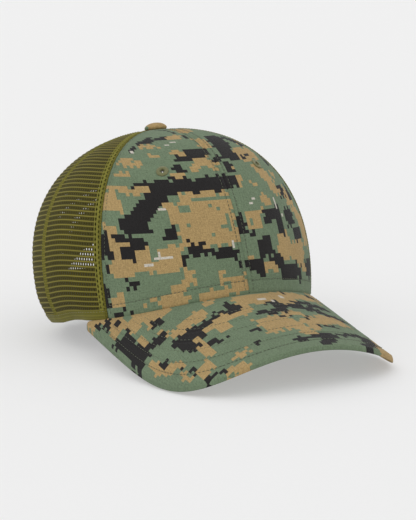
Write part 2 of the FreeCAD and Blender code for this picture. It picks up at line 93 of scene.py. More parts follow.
STRAP_BOTTOM = -7.5
STRAP_BEND = 126.5
STRAP_REACH = 46.0
STRAP_OVERLAP = 12.5
STRAP_GAP = 0.3
STRAP_CORNER = 7.0
TAB_LENGTH = 16.0
SNAP_PITCH = 8.0
SNAPS = 7
SNAP_HOLE = 2.05
PEG_RADIUS = 1.6
PITCH = math.radians(11.22)
TUCK = 4.5
TUCK_STATION = 0.085
SIDES = (("left", 1.0), ("right", -1.0))


# ---------------------------------------------------------------- the crown's formula

def shares(cosine):
    """How much of the front, side and back rib counts at an azimuth."""
    front = np.maximum(cosine, 0.0) ** 2
    back = np.maximum(-cosine, 0.0) ** 2
    return front, 1.0 - front - back, back


def hem_radius(azimuth):
    angle = np.radians(azimuth)
    reach = np.where(np.cos(angle) >= 0.0, FRONT_REACH, BACK_REACH)
    return 1.0 / np.hypot(np.cos(angle) / reach, np.sin(angle) / CROWN_SIDE)


def visor_top(across, along):
    """Height of the visor's upper face."""
    return -VISOR_SLOPE * (-along - CROWN_FRONT) - (VISOR_BEND - np.sqrt(VISOR_BEND ** 2 - across ** 2))


def hem_height(azimuth):
    angle = np.radians(azimuth)
    cosine = np.cos(angle)
    radius = hem_radius(azimuth)
    on_visor = np.clip(2.0 * cosine, 0.0, 1.0)
    on_visor = on_visor ** 2 * (3.0 - 2.0 * on_visor)
    drop = HEM_SIDE_DROP + (HEM_BACK_DROP - HEM_SIDE_DROP) * shares(cosine)[2]
    return on_visor * visor_top(radius * np.sin(angle), AXIS_BACK - radius * cosine) - (1.0 - on_visor) * drop


def smooth(value, low, high):
    """0 below low, 1 above high, and a smooth step between."""
    share = np.clip((value - low) / (high - low), 0.0, 1.0)
    return share ** 2 * (3.0 - 2.0 * share)


def hem_tuck(azimuth, station):
    """How far the soft mesh hem turns in towards the head, at the sides only."""
    turned = np.abs(azimuth)
    where = smooth(turned, 60.0, 80.0) * (1.0 - smooth(turned, 122.0, 142.0))
    return TUCK * where * np.clip(1.0 - station / TUCK_STATION, 0.0, 1.0) ** 2


def crown(azimuth, station, inset=0.0):
    """Points of a layer of the crown, station 0 at the hem and 1 at the top."""
    azimuth, station, inset = np.broadcast_arrays(
        np.asarray(azimuth, float), np.asarray(station, float), np.asarray(inset, float))
    angle = np.radians(azimuth)
    share = shares(np.cos(angle))
    bulge, rise, reach = (sum(s * v for s, v in zip(share, values)) for values in (BULGE, RISE, REACH))
    radius = hem_radius(azimuth)
    hem = hem_height(azimuth)
    top = CROWN_TOP - inset
    radii = (radius - inset, radius + bulge - inset, reach - HANDLE * inset, TOP_HOLE)
    heights = (hem, hem / 2.0 + rise - HANDLE * inset, top, top)
    back = 1.0 - station
    terms = (back ** 3, 3.0 * back ** 2 * station, 3.0 * back * station ** 2, station ** 3)
    out = sum(term * value for term, value in zip(terms, radii)) - hem_tuck(azimuth, station)
    up = sum(term * value for term, value in zip(terms, heights))
    return np.stack([out * np.sin(angle), AXIS_BACK - out * np.cos(angle), up], -1)


def tip(points):
    """Turn the cap's frame to the pitch at which it rests."""
    x, y, z = np.moveaxis(np.asarray(points, float), -1, 0)
    ahead = math.cos(PITCH) * y + math.sin(PITCH) * z
    up = math.cos(PITCH) * z - math.sin(PITCH) * y
    return np.stack([x, ahead, up], -1)


def strap_centre():
    """How far back the centre of the straps' bend lies."""
    inset = CLOTH + 3.0 * STRAP_GAP + STRAP / 2.0
    across = STRAP_BEND * math.sin(STRAP_REACH / STRAP_BEND)
    depth = math.sqrt(1.0 - (across / (CROWN_SIDE - inset)) ** 2) * (BACK_REACH - inset)
    return AXIS_BACK + depth - STRAP_BEND * math.cos(STRAP_REACH / STRAP_BEND)


def strap_root(side, radius):
    """Middle of the line where a strap bends."""
    angle = side * STRAP_REACH / STRAP_BEND
    height = STRAP_BOTTOM + STRAP_WIDTH / 2.0
    return np.array([radius * math.sin(angle), strap_centre() + radius * math.cos(angle), height])


PEEL = next(joint for joint in frame["joints"] if joint["child"] == "hole_strap")
LIFT = np.array(PEEL["pos_m"]) / MM - tip(strap_root(1.0, STRAP_BEND))


def place(points):
    """The cap's frame in millimetres to the resting frame in metres."""
    return (tip(points) + LIFT) * MM


# ---------------------------------------------------------------- building meshes

def lattice(rows, columns):
    """Quads of a grid of points, row by row."""
    index = np.arange(rows * columns).reshape(rows, columns)
    corners = (index[:-1, :-1], index[:-1, 1:], index[1:, 1:], index[1:, :-1])
    return np.stack([corner.ravel() for corner in corners], -1)


def ring_lattice(rows, columns):
    """Quads of a grid whose last column joins its first."""
    index = np.arange(rows * columns).reshape(rows, columns)
    after = np.roll(index, -1, axis=1)
    corners = (index[:-1], after[:-1], after[1:], index[1:])
    return np.stack([corner.ravel() for corner in corners], -1)


def tidy_faces(faces):
    """Drop corners that were merged, and faces with no area left."""
    kept = []
    for face in faces:
        corners = [corner for place_in, corner in enumerate(face) if corner != face[place_in - 1]]
        if len(corners) > 2 and len(set(corners)) == len(corners):
            kept.append(corners)
    return kept


def walls(faces, count):
    """Faces that join every open edge of a sheet to the same edge of its back."""
    edges = {}
    for face in faces:
        for start, stop in zip(face, face[1:] + face[:1]):
            edges[(start, stop)] = True
    return [[stop, start, start + count, stop + count] for start, stop in edges if (stop, start) not in edges]


def make_piece(name, points, faces, material, texture=None):
    """A mesh object from points in millimetres, with its cloth coordinates in millimetres."""
    mesh = bpy.data.meshes.new(name)
    mesh.from_pydata(place(points).tolist(), [], faces)
    mesh.validate()
    if texture is not None:
        layer = mesh.uv_layers.new(name="cloth")
        corner = np.zeros(len(mesh.loops), np.int64)
        mesh.loops.foreach_get("vertex_index", corner)
        layer.data.foreach_set("uv", np.asarray(texture, np.float32)[corner].ravel())
    shaped = bmesh.new()
    shaped.from_mesh(mesh)
    bmesh.ops.recalc_face_normals(shaped, faces=shaped.faces)
    shaped.to_mesh(mesh)
    shaped.free()
    mesh.shade_smooth()
    mesh.materials.append(material)
    piece = bpy.data.objects.new(name, mesh)
    bpy.context.scene.collection.objects.link(piece)
    return piece


def make_shell(name, front, back, faces, material, texture):
    """A closed sheet from its front, its back and the faces that both share."""
    front = np.asarray(front, float).reshape(-1, 3)
    back = np.asarray(back, float).reshape(-1, 3)
    texture = np.asarray(texture, float).reshape(-1, 2)
    faces = tidy_faces(np.asarray(faces).tolist())
    behind = [[corner + len(front) for corner in face[::-1]] for face in faces]
    closed = faces + behind + walls(faces, len(front))
    return make_piece(name, np.vstack([front, back]), closed, material, np.vstack([texture, texture]))


def keep(piece, body, slot, *nodes):
    """Put a finished piece on its body and in place of its CAD nodes; its slot is not used."""
    if body:
        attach(piece, body)
    if nodes:
        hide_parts(*nodes)
    return piece


def lengths(points, axis):
    """Running length along one axis of a grid of points."""
    step = np.linalg.norm(np.diff(points, axis=axis), axis=-1)
    start = np.zeros_like(np.take(step, [0], axis))
    return np.concatenate([start, np.cumsum(step, axis)], axis)


def run_along(line):
    """Running length along a line of points."""
    return np.concatenate([[0.0], np.cumsum(np.linalg.norm(np.diff(line, axis=0), axis=1))])


def from_axis(points):
    """Distance of points from the button's axis, in plan."""
    return np.hypot(points[:, 0], points[:, 1] - AXIS_BACK)


def paired(across, up):
    """Cloth coordinates of a grid from its two directions."""
    return np.stack(np.broadcast_arrays(across, up), -1)


def normals(points):
    """Unit normals of a grid of points."""
    along = np.gradient(points, axis=0)
    across = np.gradient(points, axis=1)
    normal = np.cross(along, across)
    return normal / np.maximum(np.linalg.norm(normal, axis=-1, keepdims=True), 1e-9)


def spread(start, stop, count, pull=0.0):
    """Values from start to stop, drawn towards both ends by pull."""
    share = np.linspace(0.0, 1.0, count)
    share = share - pull * np.sin(2.0 * np.pi * share) / (2.0 * np.pi)
    return start + (stop - start) * share


class Chart:
    """Cloth lengths on a stretch of the crown: across from a home rib, and up that rib."""

    def __init__(self, start, stop, home):
        self.azimuths = np.linspace(start, stop, 241)
        self.stations = np.linspace(0.0, 1.0, 321)
        grid = crown(self.azimuths[None, :], self.stations[:, None])
        middle = int(np.argmin(np.abs(self.azimuths - home)))
        self.up = lengths(grid[:, middle:middle + 1], 0)[:, 0]
        across = lengths(grid, 1)
        self.across = across - across[:, middle:middle + 1]

    def row(self, height):
        """Station and widths of the row at a height up the home rib."""
        index = np.interp(height, self.up, np.arange(len(self.up)))
        low = int(index)
        high = min(low + 1, len(self.up) - 1)
        widths = self.across[low] * (1.0 - (index - low)) + self.across[high] * (index - low)
        return float(np.interp(height, self.up, self.stations)), widths

    def find(self, across, up):
        """Azimuths and stations of points on the cloth, held inside the stretch."""
        azimuth = np.zeros(len(across))
        station = np.zeros(len(across))
        levels, group = np.unique(np.round(up, 4), return_inverse=True)
        for number, level in enumerate(levels):
            chosen = group == number
            station[chosen], widths = self.row(level)
            azimuth[chosen] = np.interp(across[chosen], widths, self.azimuths)
        return azimuth, station


def station_at_height(azimuth, height):
    """Station where a rib passes a height."""
    steps = np.linspace(0.0, 1.0, 201)
    return np.array([np.interp(z, crown(a, steps)[:, 2], steps) for a, z in zip(azimuth, height)])


def station_up(azimuth, distance):
    """Station at a distance up a rib from its hem."""
    steps = np.linspace(0.0, 1.0, 201)
    found = []
    for one, far in zip(azimuth, distance):
        rib = crown(one, steps)
        run = run_along(rib)
        found.append(np.interp(far, run, steps))
    return np.array(found)


def rear_spot(across, height):
    """Azimuth and station of the point at the back of the crown with this position and height."""
    azimuth = 180.0 - np.degrees(np.arcsin(np.clip(across / 90.0, -1.0, 1.0)))
    station = np.clip((height + 10.0) / 130.0, 0.0, 0.9)
    step_azimuth = 0.01
    step_station = 1e-4
    for _ in range(12):
        here = crown(azimuth, station)
        beside = (crown(azimuth + step_azimuth, station) - here) / step_azimuth
        above = (crown(azimuth, station + step_station) - here) / step_station
        miss_x = across - here[..., 0]
        miss_z = height - here[..., 2]
        scale = beside[..., 0] * above[..., 2] - above[..., 0] * beside[..., 2]
        azimuth = azimuth + (miss_x * above[..., 2] - above[..., 0] * miss_z) / scale
        station = np.clip(station + (beside[..., 0] * miss_z - miss_x * beside[..., 2]) / scale, -0.05, 0.95)
    return azimuth, station


# ---------------------------------------------------------------- materials

def colour(red, green, blue):
    """A colour from its 0 to 255 display values."""
    def linear(value):
        value = value / 255.0
        return value / 12.92 if value <= 0.04045 else ((value + 0.055) / 1.055) ** 2.4
    return linear(red), linear(green), linear(blue), 1.0


class Nodes:
    """A short way to write node trees."""

    def __init__(self, tree):
        self.tree = tree

    def add(self, kind, inputs=(), **settings):
        node = self.tree.nodes.new(kind)
        for name, value in settings.items():
            setattr(node, name, value)
        pairs = inputs.items() if isinstance(inputs, dict) else enumerate(inputs)
        for key, value in pairs:
            if isinstance(value, bpy.types.NodeSocket):
                self.tree.links.new(value, node.inputs[key])
            elif value is not None:
                node.inputs[key].default_value = value
        return node

    def math(self, operation, *values, clamp=False):
        return self.add("ShaderNodeMath", values, operation=operation, use_clamp=clamp).outputs[0]

    def vector(self, operation, *values):
        node = self.add("ShaderNodeVectorMath", values, operation=operation)
        return node.outputs["Value"] if operation in ("DOT_PRODUCT", "DISTANCE") else node.outputs[0]

    def scaled(self, vector, by):
        return self.vector("MULTIPLY", vector, by)

    def mix(self, share, first, second, blend="MIX"):
        node = self.add("ShaderNodeMix", data_type="RGBA", blend_type=blend)
        for key, value in ((0, share), (6, first), (7, second)):
            if isinstance(value, bpy.types.NodeSocket):
                self.tree.links.new(value, node.inputs[key])
            else:
                node.inputs[key].default_value = value
        return node.outputs[2]

    def noise(self, vector, scale, detail=2.0):
        texture = self.add("ShaderNodeTexNoise", {"Vector": vector, "Scale": scale, "Detail": detail})
        return texture.outputs["Fac"]

    def bump(self, height, distance, strength=1.0, under=None):
        inputs = {"Height": height, "Distance": distance * MM, "Strength": strength}
        if under is not None:
            inputs["Normal"] = under
        return self.add("ShaderNodeBump", inputs).outputs[0]

    def ramp(self, value, low, high):
        """0 below low, 1 above high."""
        return self.add("ShaderNodeMapRange", (value, low, high, 0.0, 1.0)).outputs[0]


def new_material(name, roughness, sheen=0.0, metallic=0.0):
    """A material with its shader's steady values set, and its node writer."""
    material = bpy.data.materials.new(name)
    material.use_nodes = True
    nodes = Nodes(material.node_tree)
    shader = material.node_tree.nodes["Principled BSDF"]
    shader.inputs["Roughness"].default_value = roughness
    shader.inputs["Sheen Weight"].default_value = sheen
    shader.inputs["Sheen Roughness"].default_value = 0.5
    shader.inputs["Metallic"].default_value = metallic
    shader.inputs["Specular IOR Level"].default_value = 0.5 if metallic else 0.18
    return material, nodes, shader


def finish_material(nodes, shader, base, normal, roughness=None):
    nodes.tree.links.new(base, shader.inputs["Base Color"])
    nodes.tree.links.new(normal, shader.inputs["Normal"])
    if roughness is not None:
        nodes.tree.links.new(roughness, shader.inputs["Roughness"])


def cloth_vector(nodes):
    """Cloth coordinates in millimetres."""
    return nodes.add("ShaderNodeUVMap", uv_map="cloth").outputs[0]


def object_vector(nodes):
    """Position in millimetres."""
    place_node = nodes.add("ShaderNodeTexCoord").outputs["Object"]
    return nodes.scaled(place_node, (1.0 / MM,) * 3)


def weave(nodes, cloth, pitch, twill=True):
    """Height of crossing threads, with a diagonal where it is a twill."""
    turn = 2.0 * math.pi / pitch
    x, y = nodes.add("ShaderNodeSeparateXYZ", (nodes.scaled(cloth, (turn,) * 3),)).outputs[:2]
    warp = nodes.math("SINE", x)
    weft = nodes.math("SINE", y)
    threads = nodes.math("MULTIPLY", warp, weft)
    if twill:
        diagonal = nodes.math("SINE", nodes.math("MULTIPLY", nodes.math("ADD", x, y), 0.5))
        threads = nodes.math("ADD", threads, diagonal)
    return threads


# Camouflage shapes on the cloth, in millimetres; the thin light-coloured marks listed after the tan ones are
# painted glints, painted highlights rather than print. Four numbers are a block: left, right, bottom, top.
# Five
# are a stroke: its two ends and half its width. Across is from the front seam, + to the wearer's left; up is
# from the hem. On the visor, along is from the front of the hem towards the visor's edge.

CROWN_BLACK = (
    (-34, -2, 69, 79), (-4, 10, 70, 80), (-51, -33, 69, 77), (-61, 73.5, -33, 81, 1.8),
    (-38, 73, -72, 47, 5.4), (-76, -57, 44, 52), (-83, -74, 38, 43), (-80, -69, 28, 35), (-71, -60, 34, 41),
    (-94, -86, 31, 45), (-49, -40, 38, 45), (-37, -20, 27, 31), (-20, -4, 24, 30), (-6, -3, 18, 24),
    (-35.5, -32, 30, 39), (-29, -26, 30, 36), (-41, -36, 22, 29), (-78, -71, 13, 19), (-92, -88, 21, 25),
    (-101, -93, 4, 18), (-92, -77, 0, 4), (-17, 0, 97, 105), (-25, -15, 94, 100), (-30, -23, 83, 91),
    (0, 6, 90, 97), (5, 10, 83, 89), (-52, 106, -30, 125, 2.0), (-38, 116, -19, 125, 2.0), (-7, -4, 121, 128),
    (-9, 130, -9, 150, 1.2), (7, 22, 93, 122), (20, 94, 33, 94, 1.8), (0, 5, 38, 52), (5, 11, 36, 40),
    (13, 24, 24, 35), (24, 22, 34, 14, 4.0), (28, 56, 8, 17), (50, 53, 4, 8), (1, 15, 15, 23),
    (9, 15, 11, 15),
    (22, 40, 47, 52), (22, 28, 43, 47), (34, 41, 35, 55), (46, 59, 40, 51), (50, 58, 60, 68),
    (65, 73, 55, 66), (52, 66, 31, 38), (66, 100, 9, 19), (60, 84, 66, 92, 3.0), (26, 118, 44, 104, 3.0),
)
CROWN_TAN = (
    (-38, -1, 33, 70), (-45, -36, 49, 61), (-80, -64, 69, 75), (-87, -74, 57, 71), (-66, -50, 69, 74),
    (-90, -80, 35, 49), (-88, -40, 20, 35), (-84, -60, 33, 40), (-49, -42, 5, 12), (-42, -35, 10, 20),
    (-20, -15, 7, 17), (-12, 0, 2, 12), (-70, -60, 4, 7), (-59, -41, 0, 6), (-32, -13, 0, 6),
    (-92, -81, 6, 11), (-57, -47, 3, 7), (-26, -17, 99, 104), (-14, -3, 89, 97), (-20, -12, 85, 91),
    (-5, -1, 84, 91), (-32, -23, 79, 84), (-70, -60, 80, 86), (-66, -55, 91, 97), (-53, -47, 91, 95),
    (-41, -34, 98, 102), (-42, -30, 109, 114), (-23, -9, 122, 128), (-3, 4, 105, 119), (-4, 8, 132, 150),
    (0, 6, 89, 98), (7, 14, 70, 79), (8, 13, 83, 88), (21, 27, 69, 73), (22, 33, 54, 63),
    (35, 85, 47, 63, 4.5),
    (50, 57, 73, 79), (8, 20, 42, 53), (1, 6, 20, 24), (13, 26, 13, 20), (32, 44, 29, 37), (30, 45, 19, 29),
    (44, 66, 19, 31), (52, 68, 13, 19), (59, 61, 72, 44, 5.0), (18, 48, 90, 102), (70, 90, 26, 44),
    (34, 60, 106, 112),
)
# Thin painted glints on the crown: light-coloured streaks that are painted highlights, not print.
CROWN_PAINTED_GLINTS = (
    (-58, -46, 27.4, 28.8), (-55, -53.6, 28.6, 32), (-65, -59, 24, 25.6), (-49, -44, 57.3, 58.8),
    (-6.8, -5.4, 30, 35), (-20, -16, 115, 116.4), (-25, -22, 111.4, 112.7), (13, 16, 57.3, 58.8),
    (16, 19, 60.3, 61.8), (37.3, 38.7, 52, 60), (41.5, 43.5, 46.5, 48.5), (-52, -49.5, 103.5, 106.5),
)
CROWN_GREEN = (
    (-23, -1, 62, 64), (-8, -4, 40, 52), (-38, -34, 62, 67), (-36, -28, 56, 59), (-60, -56, 27, 33),
    (-12, -8, 44, 46),
)
VISOR_BLACK = (
    (-94, -90, -57, -52), (-90, -84, -51, -45), (-84, -80, -44, -40), (-82, -78, -32, -28),
    (-95, -89, -32, -20), (-94, -80, -28, -18), (-95, -82, -18, 2), (-84, -5, -66, 0, 2.4),
    (-67, -61, -18, -11), (-63, -59, -14, -10), (-70, -65, 10, 15), (-67, -53, 9, 20), (-65, -56, 18, 28),
    (-53, -48, 15, 24), (-53, -36, 11, 17), (-36, 12, -15, 12, 2.0), (-25, -17, 8, 17), (-23, -19, 4, 8),
    (-84, -78, 13, 18), (-76, -72, 27, 30), (-74, -69, 36, 42), (-53, -47, 29, 34), (-48, -40, 33, 35),
    (-27, -20, 38, 42), (-32, -28, 51, 55), (-72, 52, -58, 57, 2.0), (0, 3, 14, 17), (-10, 0, 22, 27),
    (0, 12, 20, 28), (5, 30, 14, 22), (10, 13, 10, 15), (24, 12, 52, 8, 3.2), (24, 18, 40, 20, 4.0),
    (40, 24, 60, 18, 2.5), (-3, 9, 31, 34), (17, 21, 32, 36), (21, 46, 35, 43, 1.6), (50, -10, 56, -14, 2.5),
    (24, 27, -4, -1), (-8, 1, 60, 66), (3, 24, 56, 62), (8, 12, 62, 68), (24, 57, 52, 49, 2.5),
    (6, 70, 18, 64, 2.5), (40, 67, 62, 46, 3.5), (88, 18, 96, 6, 3.0), (70, -26, 84, -40, 3.0),
)
VISOR_TAN = (
    (-93, -62, -80, -42, 5.0), (-90, -76, -46, -33), (-81, -66, -36, -23), (-70, -55, -34, -14),
    (-66, -50, -24, -15), (-80, -77, -16, -4), (-70, -63, -7, -1), (-65, -35, 0, 8), (-34, -24, -6, 0),
    (-89, -83, 6, 18), (-84, 20, -73, 27, 3.0), (-80, -75, 29, 42), (-72, -60, 41, 50), (-60, -53, 21, 40),
    (-50, -10, 12, 22), (-40, -32, 21, 29), (-16, 28, 0, 14), (-18, 6, 30, 49), (0, 20, 38, 52),
    (4, 20, 26, 32), (20, 38, 50, 28, 6.0), (20, 2, 55, -8, 5.0), (-48, -37, 52, 56),
    (-60, 59, -45, 65, 2.5), (0, 12, 54, 57), (60, 62, 90, 20, 9.0), (60, -18, 90, -46, 6.0),
)
# Thin painted glints on the visor: painted highlights, not print.
VISOR_PAINTED_GLINTS = ((0, 6, 7, 9.5), (8, 10, 10, 13), (18, 21, 3, 7))
VISOR_GREEN = (
    (-91, -88, -14, -10), (-84, -82, -8, -5), (-88, -84, -2, 1), (-32, -22, 0, 3), (-58, -54, 13, 15),
)


def marks_mask(nodes, x, y, marks):
    """1 inside any of a list of shapes, printed camouflage marks and painted glints alike."""
    mask = None
    for mark in marks:
        if len(mark) == 4:
            left, right, low, high = mark
            across = nodes.math("COMPARE", x, (left + right) / 2.0, (right - left) / 2.0)
            up = nodes.math("COMPARE", y, (low + high) / 2.0, (high - low) / 2.0)
        else:
            start_x, start_y, stop_x, stop_y, half = mark
            length = math.hypot(stop_x - start_x, stop_y - start_y)
            cosine = (stop_x - start_x) / length
            sine = (stop_y - start_y) / length
            along = nodes.math("MULTIPLY_ADD", y, sine, -start_x * cosine - start_y * sine)
            along = nodes.math("MULTIPLY_ADD", x, cosine, along)
            beside = nodes.math("MULTIPLY_ADD", y, cosine, start_x * sine - start_y * cosine)
            beside = nodes.math("MULTIPLY_ADD", x, -sine, beside)
            across = nodes.math("COMPARE", along, length / 2.0, length / 2.0 + 0.6 * half)
            up = nodes.math("COMPARE", beside, 0.0, half)
        inside = nodes.math("MULTIPLY", across, up)
        mask = inside if mask is None else nodes.math("MAXIMUM", mask, inside)
    return mask


CAMO_CELL = 2.4
RAGGED = 2.6
DRIFT = 5.0
LONE_CELLS = 0.982
GREEN = colour(107, 124, 98)
TAN = colour(168, 142, 96)
BLACK = colour(33, 31, 31)
# Colour of the painted glints, a painted highlight.
PAINTED_GLINT = colour(196, 190, 178)


def camo_material(name, black, tan, pale, green):
    """Printed ripstop: square cells of three printed colours, with thin painted glints of a fourth, light
    colour as painted highlights, over a fine twill.
    """
    material, nodes, shader = new_material(name, 0.88, sheen=0.07)
    cloth = cloth_vector(nodes)
    cell = nodes.vector("FLOOR", nodes.scaled(cloth, (1.0 / CAMO_CELL,) * 3))
    centre = nodes.scaled(nodes.vector("ADD", cell, (0.5, 0.5, 0.0)), (CAMO_CELL,) * 3)
    speckle = nodes.add("ShaderNodeTexWhiteNoise", (centre,), noise_dimensions="3D").outputs["Color"]
    drift = nodes.add("ShaderNodeTexNoise", {"Vector": centre, "Scale": 0.17, "Detail": 1.0}).outputs["Color"]
    middle_grey = (0.5, 0.5, 0.5)
    ragged = nodes.scaled(nodes.vector("SUBTRACT", speckle, middle_grey), (RAGGED,) * 3)
    drifted = nodes.scaled(nodes.vector("SUBTRACT", drift, middle_grey), (DRIFT,) * 3)
    moved = nodes.vector("ADD", nodes.vector("ADD", centre, ragged), drifted)
    x, y = nodes.add("ShaderNodeSeparateXYZ", (moved,)).outputs[:2]
    in_black = marks_mask(nodes, x, y, black)
    in_tan = marks_mask(nodes, x, y, tan)
    x, y = nodes.add("ShaderNodeSeparateXYZ", (centre,)).outputs[:2]
    in_green = marks_mask(nodes, x, y, green)
    lone = nodes.add("ShaderNodeSeparateXYZ", (speckle,)).outputs[2]
    in_green = nodes.math("MAXIMUM", in_green, nodes.math("GREATER_THAN", lone, LONE_CELLS))
    # Painted glints: thin light streaks on the smooth cloth, not snapped to the print's cells; painted
    # highlights.
    x, y = nodes.add("ShaderNodeSeparateXYZ", (cloth,)).outputs[:2]
    in_painted_glint = marks_mask(nodes, x, y, pale)
    print_colour = nodes.mix(in_tan, GREEN, TAN)
    print_colour = nodes.mix(in_green, print_colour, GREEN)
    print_colour = nodes.mix(in_black, print_colour, BLACK)
    # The painted glints go over the print as a painted highlight.
    print_colour = nodes.mix(in_painted_glint, print_colour, PAINTED_GLINT)
    streaks = nodes.noise(nodes.scaled(cloth, (1.4, 0.22, 1.0)), 1.0, 3.0)
    slubs = nodes.noise(nodes.scaled(cloth, (0.3, 1.6, 1.0)), 1.0, 2.0)
    fading = nodes.noise(cloth, 0.03, 2.0)
    nubs = nodes.noise(cloth, 1.1, 2.0)
    tone = nodes.math("ADD", nodes.math("MULTIPLY", streaks, 0.55), nodes.math("MULTIPLY", slubs, 0.4))
    tone = nodes.math("ADD", tone, nodes.math("MULTIPLY_ADD", fading, 0.24, -0.04))
    tone = nodes.math("MULTIPLY_ADD", nubs, 0.85, tone)
    base = nodes.vector("MULTIPLY", print_colour, tone)
    threads = weave(nodes, cloth, 0.62)
    coarse = nodes.bump(nubs, 0.2, 0.7)
    normal = nodes.bump(threads, 0.09, 0.7, coarse)
    finish_material(nodes, shader, base, normal)
    return material


def yarn_material(name, shade, rib_highlight_colour, rib_pitch):
    """Olive polyester yarn with a painted highlight along its raised ribs and painted shade between them."""
    material, nodes, shader = new_material(name, 0.7, sheen=0.04)
    cloth = cloth_vector(nodes)
    height = nodes.add("ShaderNodeSeparateXYZ", (cloth,)).outputs[1]
    wave = nodes.math("COSINE", nodes.math("MULTIPLY", height, 2.0 * math.pi / rib_pitch))
    # Painted highlight on the raised ribs; the first colour carries painted shade between them.
    rib_highlight = nodes.ramp(wave, 0.6, 1.0)
    fibre = nodes.noise(nodes.scaled(object_vector(nodes), (1.0, 1.0, 3.0)), 2.2, 3.0)
    patch = nodes.noise(object_vector(nodes), 0.05, 2.0)
    base = nodes.mix(rib_highlight, shade, rib_highlight_colour)
    tone = nodes.math("ADD", nodes.math("MULTIPLY_ADD", fibre, 0.5, 0.55), nodes.math("MULTIPLY", patch, 0.4))
    base = nodes.vector("MULTIPLY", base, tone)
    finish_material(nodes, shader, base, nodes.bump(fibre, 0.2, 0.8))
    return material


def tape_material(name, shade, pitch=0.9, sheen=0.1):
    """Plain woven tape or band with a twill face."""
    material, nodes, shader = new_material(name, 0.85, sheen=sheen)
    cloth = cloth_vector(nodes)
    threads = weave(nodes, cloth, pitch)
    wear = nodes.noise(cloth, 0.12, 4.0)
    fuzz = nodes.noise(cloth, 1.6, 3.0)
    tone = nodes.math("ADD", nodes.math("MULTIPLY_ADD", wear, 0.5, 0.55), nodes.math("MULTIPLY", fuzz, 0.3))
    tone = nodes.math("MULTIPLY_ADD", threads, 0.05, tone)
    base = nodes.vector("MULTIPLY", nodes.mix(0.0, shade, shade), tone)
    normal = nodes.bump(threads, 0.12, 0.8, nodes.bump(fuzz, 0.2, 0.5))
    finish_material(nodes, shader, base, normal)
    return material


def buckram_material():
    """Stiff open gauze: a square grid of sized threads."""
    material, nodes, shader = new_material("buckram", 0.8)
    cloth = cloth_vector(nodes)
    x, y = nodes.add("ShaderNodeSeparateXYZ", (nodes.scaled(cloth, (2.0 * math.pi / 1.3,) * 3),)).outputs[:2]
    grid = nodes.math("MAXIMUM", nodes.math("COSINE", x), nodes.math("COSINE", y))
    fuzz = nodes.noise(cloth, 0.8, 3.0)
    base = nodes.mix(nodes.ramp(grid, 0.2, 0.9), colour(38, 38, 34), colour(70, 68, 58))
    base = nodes.vector("MULTIPLY", base, nodes.math("MULTIPLY_ADD", fuzz, 0.5, 0.7))
    finish_material(nodes, shader, base, nodes.bump(grid, 0.3, 0.9))
    return material


def plastic_material(name, shade, roughness):
    """Moulded plastic with a fine spark-eroded grain and light scuffs."""
    material, nodes, shader = new_material(name, roughness)
    where = object_vector(nodes)
    grain = nodes.noise(where, 4.0, 2.0)
    scuff = nodes.noise(nodes.scaled(where, (0.25, 0.25, 1.4)), 1.0, 4.0)
    tone = nodes.math("MULTIPLY_ADD", scuff, 0.35, 0.8)
    base = nodes.vector("MULTIPLY", nodes.mix(0.0, shade, shade), tone)
    rough = nodes.math("MULTIPLY_ADD", scuff, 0.25, roughness - 0.1)
    finish_material(nodes, shader, base, nodes.bump(grain, 0.05, 0.6), rough)
    return material


def metal_material():
    """Nickel-plated steel, lightly brushed."""
    material, nodes, shader = new_material("rivet_metal", 0.35, metallic=1.0)
    where = object_vector(nodes)
    brushed = nodes.noise(nodes.scaled(where, (0.5, 6.0, 6.0)), 1.0, 3.0)
    base = nodes.mix(brushed, colour(120, 118, 112), colour(178, 176, 170))
    rough = nodes.math("MULTIPLY_ADD", brushed, 0.3, 0.2)
    finish_material(nodes, shader, base, nodes.bump(brushed, 0.05, 0.5), rough)
    return material


def thread_material(name, shade, ply=0.5):
    """Twisted sewing thread: slanting plies along each stitch."""
    material, nodes, shader = new_material(name, 0.55, sheen=0.25)
    cloth = cloth_vector(nodes)
    x, y = nodes.add("ShaderNodeSeparateXYZ", (cloth,)).outputs[:2]
    slant = nodes.math("SINE", nodes.math("MULTIPLY", nodes.math("ADD", x, y), 2.0 * math.pi / ply))
    tone = nodes.math("MULTIPLY_ADD", slant, 0.16, 0.84)
    fluff = nodes.noise(object_vector(nodes), 3.0, 2.0)
    tone = nodes.math("MULTIPLY_ADD", fluff, 0.3, tone)
    base = nodes.vector("MULTIPLY", nodes.mix(0.0, shade, shade), tone)
    finish_material(nodes, shader, base, nodes.bump(slant, 0.08, 0.8))
    return material


RIB_PITCH = 3.3
COLUMN_PITCH = 2.05

# The light-coloured marks passed third are painted glints, painted highlights rather than print.
camo_crown = camo_material("camo_crown", CROWN_BLACK, CROWN_TAN, CROWN_PAINTED_GLINTS, CROWN_GREEN)
camo_visor = camo_material("camo_visor", VISOR_BLACK, VISOR_TAN, VISOR_PAINTED_GLINTS, VISOR_GREEN)
# Each yarn's darker first colour carries painted shade between the ribs, its lighter second a painted
# highlight on them.
mesh_yarn = yarn_material("mesh_yarn", colour(70, 65, 18), colour(128, 120, 48), RIB_PITCH)
seam_yarn = yarn_material("seam_yarn", colour(98, 94, 32), colour(122, 117, 44), 1.65)
loop_yarn = yarn_material("loop_yarn", colour(124, 120, 48), colour(134, 130, 56), 1.65)
olive_tape = tape_material("olive_tape", colour(80, 77, 34))
sweat_cloth = tape_material("sweat_cloth", colour(44, 44, 36), 0.8, 0.2)
camo_under = camo_material("camo_under", VISOR_BLACK, VISOR_TAN, VISOR_PAINTED_GLINTS, VISOR_GREEN)
buckram = buckram_material()
strap_plastic = plastic_material("strap_plastic", colour(62, 62, 36), 0.5)
board_plastic = plastic_material("board_plastic", colour(180, 178, 168), 0.6)
rivet_metal = metal_material()
camo_thread = thread_material("camo_thread", colour(82, 90, 68))
olive_thread = thread_material("olive_thread", colour(100, 97, 46))
eyelet_thread = thread_material("eyelet_thread", colour(112, 112, 74), 0.7)


# ---------------------------------------------------------------- stitches

